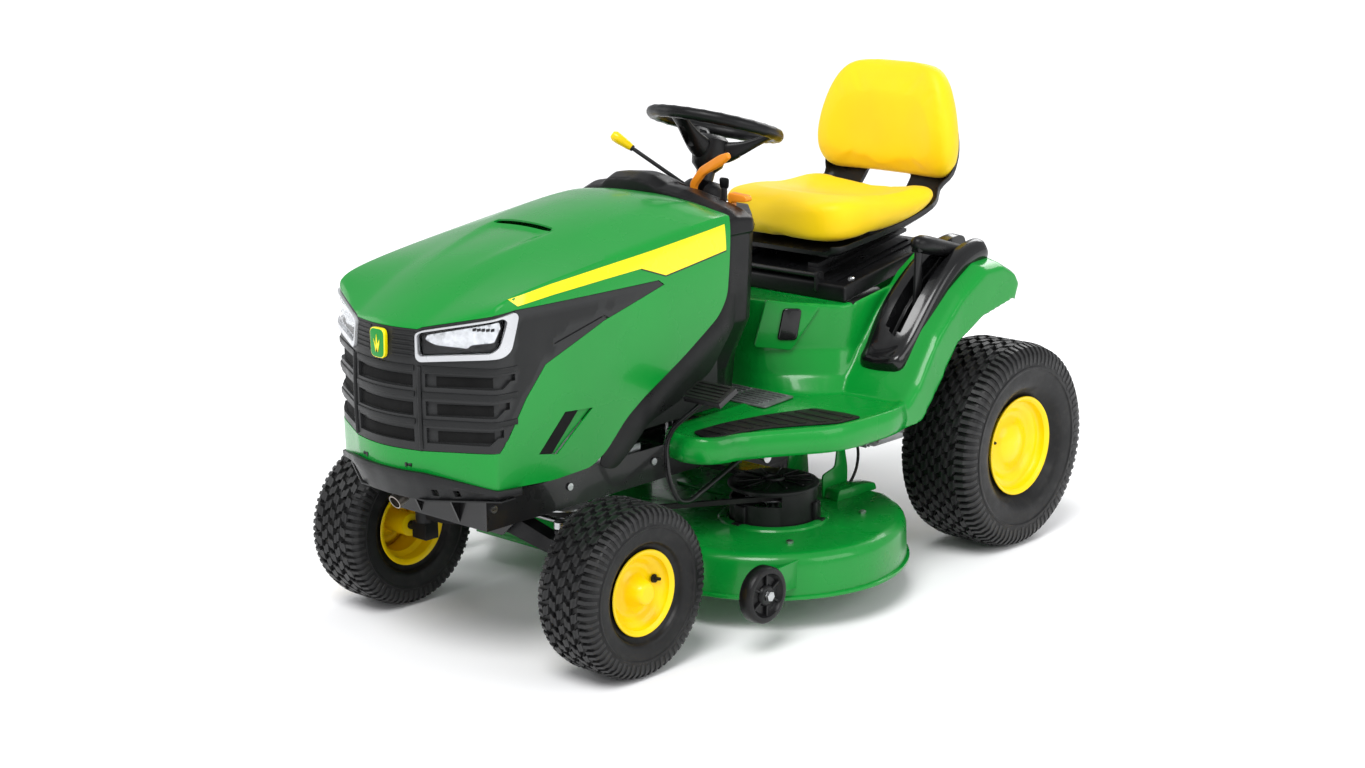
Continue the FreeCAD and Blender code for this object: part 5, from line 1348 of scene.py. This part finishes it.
def seat_platform():
    slope = math.tan(math.radians(10))

    def level(y, lift=0.0):
        return 0.662 + (y - 0.250) * slope * 1.004 + lift
    plate = prism([(0.250, 0.624), (0.250, level(0.250)), (0.600, level(0.600)), (0.600, 0.690)], "x",
                  -0.240, 0.240)
    plate = bevel(plate, 0.006, 3)
    tools = [box(-0.062, 0.062, 0.420, 0.540, 0.60, 0.76),
             prism([(0.258, 0.60), (0.258, 0.652), (0.592, 0.711), (0.592, 0.60)], "x", -0.232, 0.232)]
    for x in (-0.205, -0.178, 0.166, 0.193):
        tools.append(prism([(0.275, level(0.275, -0.004)), (0.275, level(0.275, 0.02)),
                            (0.575, level(0.575, 0.02)), (0.575, level(0.575, -0.004))], "x", x, x + 0.012))
    tools.append(rod(-0.1, 0.1, 0.0062, (0.20, 0.258, 0.677), X_AXIS, 20))
    plate = cut_each(plate, tools)
    ear = prism(rounded([(0.244, 0.640), (0.272, 0.640), (0.272, 0.688), (0.244, 0.688)], 0.010), "x",
                0.152, 0.158)
    bore = rod(-0.05, 0.05, 0.00605, (0.155, 0.258, 0.677), X_AXIS, 24)
    piece("seat_deck", join([plate, both(cut(ear, [bore]))]), "chassis", BLACK,
          ("seat_platform",), angle=40)
    bolts = []
    for x, y in ((0.218, 0.300), (0.218, 0.560)):
        for sign in (1, -1):
            bolts.append(revolve([(-0.004, 0.0), (-0.004, 0.008), (0.003, 0.008), (0.005, 0.005),
                                  (0.005, 0.0)], (sign * x, y, level(y)), (0, -0.17, 1), 6))
    piece("seat_deck_bolts", join(bolts), "chassis", CHROME)


def lift_lever():
    top = Vector((0.340, 0.396, 0.756))
    along = Vector((0, 0.165, -0.043)).normalized()
    arm = prism([(0.366, 0.430), (0.394, 0.430), (0.402, 0.560), (0.408, 0.752), (0.384, 0.756),
                 (0.378, 0.560)], "x", 0.336, 0.344)
    eye = rod(-0.004, 0.004, 0.018, (0.340, 0.380, 0.430), X_AXIS, 32)
    piece("lift_arm", join([bevel(arm, 0.0015), eye]), "lift_lever", BLACK_PAINT)
    profile = [(0.1725, 0.0), (0.1725, 0.0128), (0.168, 0.0158), (0.150, 0.0172), (0.118, 0.0180),
               (0.070, 0.0205), (0.030, 0.0220), (0.006, 0.0205), (-0.012, 0.0150), (-0.018, 0.0080),
               (-0.020, 0.0)]
    grip = revolve(profile, top, along, 36)
    socket = rod(0.120, 0.190, 0.0078, top, along, 24)
    grip = cut(grip, [socket])
    heel = loft([[(x, y, z) for x, z in ((0.330, 0.762), (0.350, 0.762), (0.352, 0.736),
                                         (0.328, 0.736))] for y in (0.382, 0.410)])
    grip = join([grip, bevel(heel, 0.004, 3)])
    piece("lift_grip", grip, "lift_lever", BLACK, ("lift_lever",), angle=45)


# ---- mowing deck ------------------------------------------------------------------------------
SPINDLE_X = 0.262
SPINDLE_Y = -0.030
GAUGE_Y = -0.360
GAUGE_Z = 0.135


def arc3(a, b, c, steps):
    """Points of the circle through three points, from a to c."""
    a, b, c = Vector(a), Vector(b), Vector(c)
    d = 2 * (a.x * (b.y - c.y) + b.x * (c.y - a.y) + c.x * (a.y - b.y))
    aa, bb, cc = a.length_squared, b.length_squared, c.length_squared
    ux = (aa * (b.y - c.y) + bb * (c.y - a.y) + cc * (a.y - b.y)) / d
    uy = (aa * (c.x - b.x) + bb * (a.x - c.x) + cc * (b.x - a.x)) / d
    centre = Vector((ux, uy))
    start = math.atan2(a.y - uy, a.x - ux)
    end = math.atan2(c.y - uy, c.x - ux)
    mid = math.atan2(b.y - uy, b.x - ux)
    turn_all = (end - start) % (2 * math.pi)
    if (mid - start) % (2 * math.pi) > turn_all:
        turn_all -= 2 * math.pi
    r = (a - centre).length
    return [(ux + r * math.cos(start + turn_all * k / steps),
             uy + r * math.sin(start + turn_all * k / steps)) for k in range(steps)]


def deck_plan(m):
    points = arc3((0.300, -0.330 + m), (0.490 - m, -0.215), (0.555 - m, -0.030), 18)
    points += arc3((0.555 - m, -0.030), (0.492 - m, 0.165), (0.330, 0.300 - m), 22)
    rear = [(0.330, 0.300 - m), (-0.420, 0.300 - m), (-0.540 + m, 0.190), (-0.540 + m, -0.190),
            (-0.400, -0.330 + m)]
    for a, b, steps in zip(rear, rear[1:] + [(0.300, -0.330 + m)], (14, 4, 8, 4, 14)):
        points += [tuple(Vector(a).lerp(Vector(b), k / steps)) for k in range(steps)]
    return points


def deck_layers(*levels):
    """The deck's outline drawn up through (z, inset) levels."""
    return loft([[(x, y, z) for x, y in deck_plan(m)] for z, m in levels])


def deck():
    outer = deck_layers((0.080, -0.006), (0.0815, -0.008), (0.0865, -0.008), (0.088, -0.006), (0.089, 0.0),
                        (0.120, 0.0), (0.158, 0.002), (0.168, 0.006), (0.1755, 0.014), (0.1790, 0.024),
                        (0.1800, 0.036))
    inner = deck_layers((0.07, 0.004), (0.158, 0.006), (0.170, 0.014), (0.1765, 0.036))
    body = cut(cut(outer, [inner]), [box(-0.62, -0.500, -0.185, 0.185, 0.06, 0.176, 0)])
    parts = [body]
    for sign in (1, -1):
        parts.append(revolve([(0.178, 0.128), (0.184, 0.124), (0.1865, 0.116), (0.1865, 0.106),
                              (0.178, 0.102)], (sign * SPINDLE_X, SPINDLE_Y, 0), Z_AXIS, 72))
    plateau = [(-0.10, 0.02), (0.10, 0.02), (0.10 * 0.8, 0.25), (-0.10 * 0.8, 0.25)]
    parts.append(rounded_plate(plateau, 0.03, "z", 0.179, 0.1855, 0.003, 3))
    housing = cut(revolve([(0.124, 0.0), (0.124, 0.036), (0.140, 0.038), (0.202, 0.038), (0.202, 0.0)],
                          (SPINDLE_X, SPINDLE_Y, 0), Z_AXIS, 48),
                  [rod(0.10, 0.22, 0.0127, (SPINDLE_X, SPINDLE_Y, 0), Z_AXIS, 32)])
    parts.append(both(housing))
    parts.append(both(rounded_plate([(0.120, 0.178), (0.205, 0.178), (0.196, 0.284), (0.178, 0.292),
                                     (0.150, 0.292), (0.132, 0.284)], 0.012, "x", 0.168, 0.173, 0.001)))
    bracket = prism(rounded([(0.150, 0.178), (0.240, 0.178), (0.240, 0.240), (0.226, 0.304), (0.206, 0.304),
                             (0.196, 0.246), (0.150, 0.236)], 0.010), "x", 0.254, 0.259)
    parts.append(bevel(bracket, 0.001))
    parts.append(rounded_plate([(0.152, 0.178), (0.300, 0.178), (0.292, 0.196), (0.236, 0.204),
                                (0.160, 0.204)], 0.006, "x", 0.259, 0.300, 0.003))
    gauge = [(-0.190, 0.106), (-0.190, 0.170), (-0.345, 0.161), (-0.378, 0.149), (-0.378, 0.121),
             (-0.345, 0.110)]
    parts.append(both(rounded_plate(gauge, 0.012, "x", 0.482, 0.488, 0.001)))
    parts.append(tube([(-0.545, -0.178, 0.190), (-0.545, 0.178, 0.190)], 0.004, 12, 1))
    for y in (-0.178, 0.172):
        parts.append(box(-0.550, -0.534, y, y + 0.006, 0.172, 0.196, 0.001))
    piece("deck_body", join(parts), "deck", GREEN_DARK, ("deck_shell",), angle=32)
    metal = []
    for sign in (1, -1):
        metal.append(rod(sign * 0.488, sign * 0.532, 0.008, (0, GAUGE_Y, GAUGE_Z), X_AXIS, 28))
        metal.append(revolve([(sign * 0.532, 0.0), (sign * 0.532, 0.012), (sign * 0.539, 0.011),
                              (sign * 0.540, 0.0)], (0, GAUGE_Y, GAUGE_Z), X_AXIS, 6))
    for x, y in ((0.40, 0.12), (0.42, -0.16), (0.10, 0.26), (-0.10, 0.26), (0.10, -0.29), (-0.20, -0.29),
                 (-0.44, 0.10), (-0.44, -0.16)):
        metal.append(revolve([(0.1795, 0.0), (0.1795, 0.0085), (0.1855, 0.0085), (0.187, 0.006),
                              (0.187, 0.0)], (x, y, 0), Z_AXIS, 6))
    piece("deck_hardware", join(metal), "deck", STEEL)


def spindle_covers():
    parts = []
    for sign in (1, -1):
        centre = (sign * SPINDLE_X, SPINDLE_Y, 0)
        drum = revolve([(0.181, 0.0960), (0.181, 0.100), (0.2555, 0.1000), (0.2575, 0.104), (0.2625, 0.104),
                        (0.2655, 0.101), (0.2675, 0.093), (0.2690, 0.080), (0.2695, 0.0), (0.2660, 0.0),
                        (0.2655, 0.078), (0.2640, 0.092), (0.2615, 0.0960)], centre, Z_AXIS, 96)
        low, high = sorted((sign * (SPINDLE_X - 0.150), sign * (SPINDLE_X + 0.078)))
        slot = box(low, high, -0.200, 0.200, 0.229, 0.253, 0)
        drum = cut(drum, [slot])
        parts.append(drum)
        for k in range(12):
            rib = box(0.030, 0.088, -0.0022, 0.0022, 0.2685, 0.2720, 0.0008)
            turn(rib, ORIGIN, "Z", 30 * k)
            parts.append(copy_of(rib, Matrix.Translation(centre)))
        parts.append(revolve([(0.2685, 0.026), (0.2735, 0.024), (0.2735, 0.018), (0.2685, 0.016)], centre,
                             Z_AXIS, 40))
        for angle in (20, 160, 265):
            for clip in (box(0.098, 0.108, -0.016, 0.016, 0.184, 0.226, 0.002),
                         box(0.098, 0.122, -0.012, 0.012, 0.1815, 0.187, 0.0015)):
                turn(clip, ORIGIN, "Z", angle)
                parts.append(copy_of(clip, Matrix.Translation(centre)))
    piece("spindle_covers", join(parts), "deck", BLACK, ("belt_covers",), angle=35)


def gauge_wheels():
    profile = [(-0.016, 0.0081), (0.016, 0.0081), (0.016, 0.018), (0.013, 0.022), (0.007, 0.024),
               (0.006, 0.030), (0.006, 0.040), (0.010, 0.045), (0.0155, 0.048), (0.016, 0.054),
               (0.0145, 0.059), (0.011, 0.0615), (0.0, 0.062)]
    profile += [(-a, r) for a, r in profile[-2:1:-1]]
    ribs = []
    for k in range(6):
        for low, high in ((0.005, 0.0125), (-0.0125, -0.005)):
            ribs.append(turn(box(low, high, -0.0018, 0.0018, 0.022, 0.046, 0.0006), ORIGIN, "X", 60 * k))
    wheel = join([revolve(profile, ORIGIN, X_AXIS, 64)] + ribs)
    for side, sign in (("left", 1), ("right", -1)):
        place = Matrix.Translation((sign * 0.515, GAUGE_Y, GAUGE_Z))
        piece(f"{side}_gauge_roller", copy_of(wheel, place), f"{side}_gauge_wheel", BLACK,
              (f"{side}_gauge_wheel",))


def chute():
    falls = ((-0.547, 0.1865, 0.1935), (-0.620, 0.171, 0.1765), (-0.670, 0.160, 0.165), (-0.698, 0.152, 0.157))
    rings = []
    for x, low, high in falls:
        section = rounded([(-0.168, low), (-0.168, high), (0.168, high), (0.168, low)], 0.002)
        rings.append([(x, y, z) for y, z in section])
    top = loft(rings)
    parts = [top]
    side = [(-0.556, 0.188), (-0.698, 0.156), (-0.699, 0.116), (-0.690, 0.112), (-0.560, 0.122)]
    for y in (-0.168, 0.162):
        parts.append(rounded_plate(side, 0.006, "y", y, y + 0.006, 0.001))
    parts.append(loft([[(x, y, z) for x, z in ((-0.700, 0.157), (-0.695, 0.158), (-0.695, 0.124),
                                               (-0.700, 0.124))] for y in (-0.168, 0.168)]))
    for y in (-0.110, -0.055, 0.0, 0.055, 0.110):
        parts.append(prism([(-0.556, 0.1905), (-0.556, 0.196), (-0.692, 0.163), (-0.692, 0.157)], "y",
                           y - 0.002, y + 0.002))
    knuckle = revolve([(-0.168, 0.00405), (-0.168, 0.008), (0.168, 0.008), (0.168, 0.00405)],
                      (-0.545, 0, 0.190), Y_AXIS, 24)
    parts.append(knuckle)
    piece("chute_shell", join(parts), "discharge_chute", BLACK, ("discharge_chute",),
          angle=35)


def finishes():
    """Finishes of the frame nodes that are shown as they are."""
    dress(BLACK_PAINT, "frame_rails", "frame_cross_members", "brake_pedal", "forward_pedal",
          "reverse_pedal", "seat_bracket")
    dress(STEEL, "frame_bolts", "tie_rod", "drag_link", "steering_shaft", "sector_gear", "lift_shaft",
          "left_blade", "right_blade", "engine_pulley", "transaxle_pulley")
    dress(ALUMINIUM, "engine_block", "transaxle")
    dress(IRON, "front_axle", "left_spindle", "right_spindle")
    dress(EXHAUST, "muffler")
    dress(BLACK, "engine_shroud", "fuel_tank", "fuel_cap")
    dress(CHARCOAL, "lift_button")
    dress(RUBBER, "drive_belt", "deck_belt", "pto_cable")


hood_shell()
front_grille()
headlamps()
stripes()
side_vents()
badge()
bumper()
wheels()
green_body()
foot_area()
console()
dash()
steering_wheel()
hand_controls()
pedals()
seat_cushion()
backrest()
seat_shell()
seat_platform()
lift_lever()
deck()
spindle_covers()
gauge_wheels()
chute()
finishes()


# ---- floor, light and camera ------------------------------------------------------------------
def area_light(name, place, target, size, power):
    data = bpy.data.lights.new(name, "AREA")
    data.shape = "RECTANGLE"
    data.size, data.size_y = size
    data.energy = power
    ob = bpy.data.objects.new(name, data)
    ob.location = Vector(place) + OFFSET
    ob.rotation_euler = (Vector(target) - Vector(place)).to_track_quat("-Z", "Y").to_euler()
    COLLECTION.objects.link(ob)


SKY_STRENGTH = 0.62
SUN_STRENGTH = 2.1
SUN_SOFTNESS = 28
SUN_DIRECTION = (-0.35, 0.75, -1.25)


def studio():
    mesh = bpy.data.meshes.new("floor")
    reach = 30
    mesh.from_pydata([(-reach, -reach, 0), (reach, -reach, 0), (reach, reach, 0), (-reach, reach, 0)], [],
                     [(0, 1, 2, 3)])
    floor = bpy.data.objects.new("floor", mesh)
    mesh.materials.append(material("studio_floor", (0.98, 0.98, 0.985), 0.8, vary=0.004, vary_scale=0.6))
    COLLECTION.objects.link(floor)
    world = bpy.data.worlds.new("studio")
    world.use_nodes = True
    sky = world.node_tree.nodes["Background"]
    sky.inputs["Color"].default_value = (0.97, 0.98, 1.0, 1)
    sky.inputs["Strength"].default_value = SKY_STRENGTH
    bpy.context.scene.world = world
    sun = bpy.data.lights.new("daylight", "SUN")
    sun.energy = SUN_STRENGTH
    sun.angle = math.radians(SUN_SOFTNESS)
    lamp = bpy.data.objects.new("daylight", sun)
    lamp.rotation_euler = Vector(SUN_DIRECTION).to_track_quat("-Z", "Y").to_euler()
    COLLECTION.objects.link(lamp)
    area_light("left_fill", (4.5, 0.5, 2.4), (0, 0, 0.5), (3.0, 2.2), 60)
    area_light("right_fill", (-4.0, -2.0, 2.6), (0, 0, 0.5), (2.6, 2.6), 35)
    area_light("back_rim", (-1.0, 4.5, 3.2), (0, 0, 0.7), (3.0, 1.6), 70)


CAMERA_PLACE = (3.684, -4.018, 1.792)
CAMERA_AZIMUTH = 42.85
CAMERA_ELEVATION = 13.92
CAMERA_ROLL = -0.58
CAMERA_LENS = 63.763


def camera():
    data = bpy.data.cameras.new("main_camera")
    data.lens = CAMERA_LENS
    data.sensor_width = 36
    data.dof.use_dof = False
    ob = bpy.data.objects.new("main_camera", data)
    ob.location = Vector(CAMERA_PLACE) + OFFSET
    a, e = math.radians(CAMERA_AZIMUTH), math.radians(CAMERA_ELEVATION)
    back = Vector((math.sin(a) * math.cos(e), -math.cos(a) * math.cos(e), math.sin(e)))
    right = Vector((math.cos(a), math.sin(a), 0))
    up = back.cross(right)
    roll = math.radians(CAMERA_ROLL)
    x_axis = right * math.cos(roll) + up * math.sin(roll)
    y_axis = up * math.cos(roll) - right * math.sin(roll)
    ob.rotation_euler = Matrix((x_axis, y_axis, back)).transposed().to_euler()
    COLLECTION.objects.link(ob)
    bpy.context.scene.camera = ob


studio()
camera()
bpy.context.scene.view_settings.view_transform = "Standard"
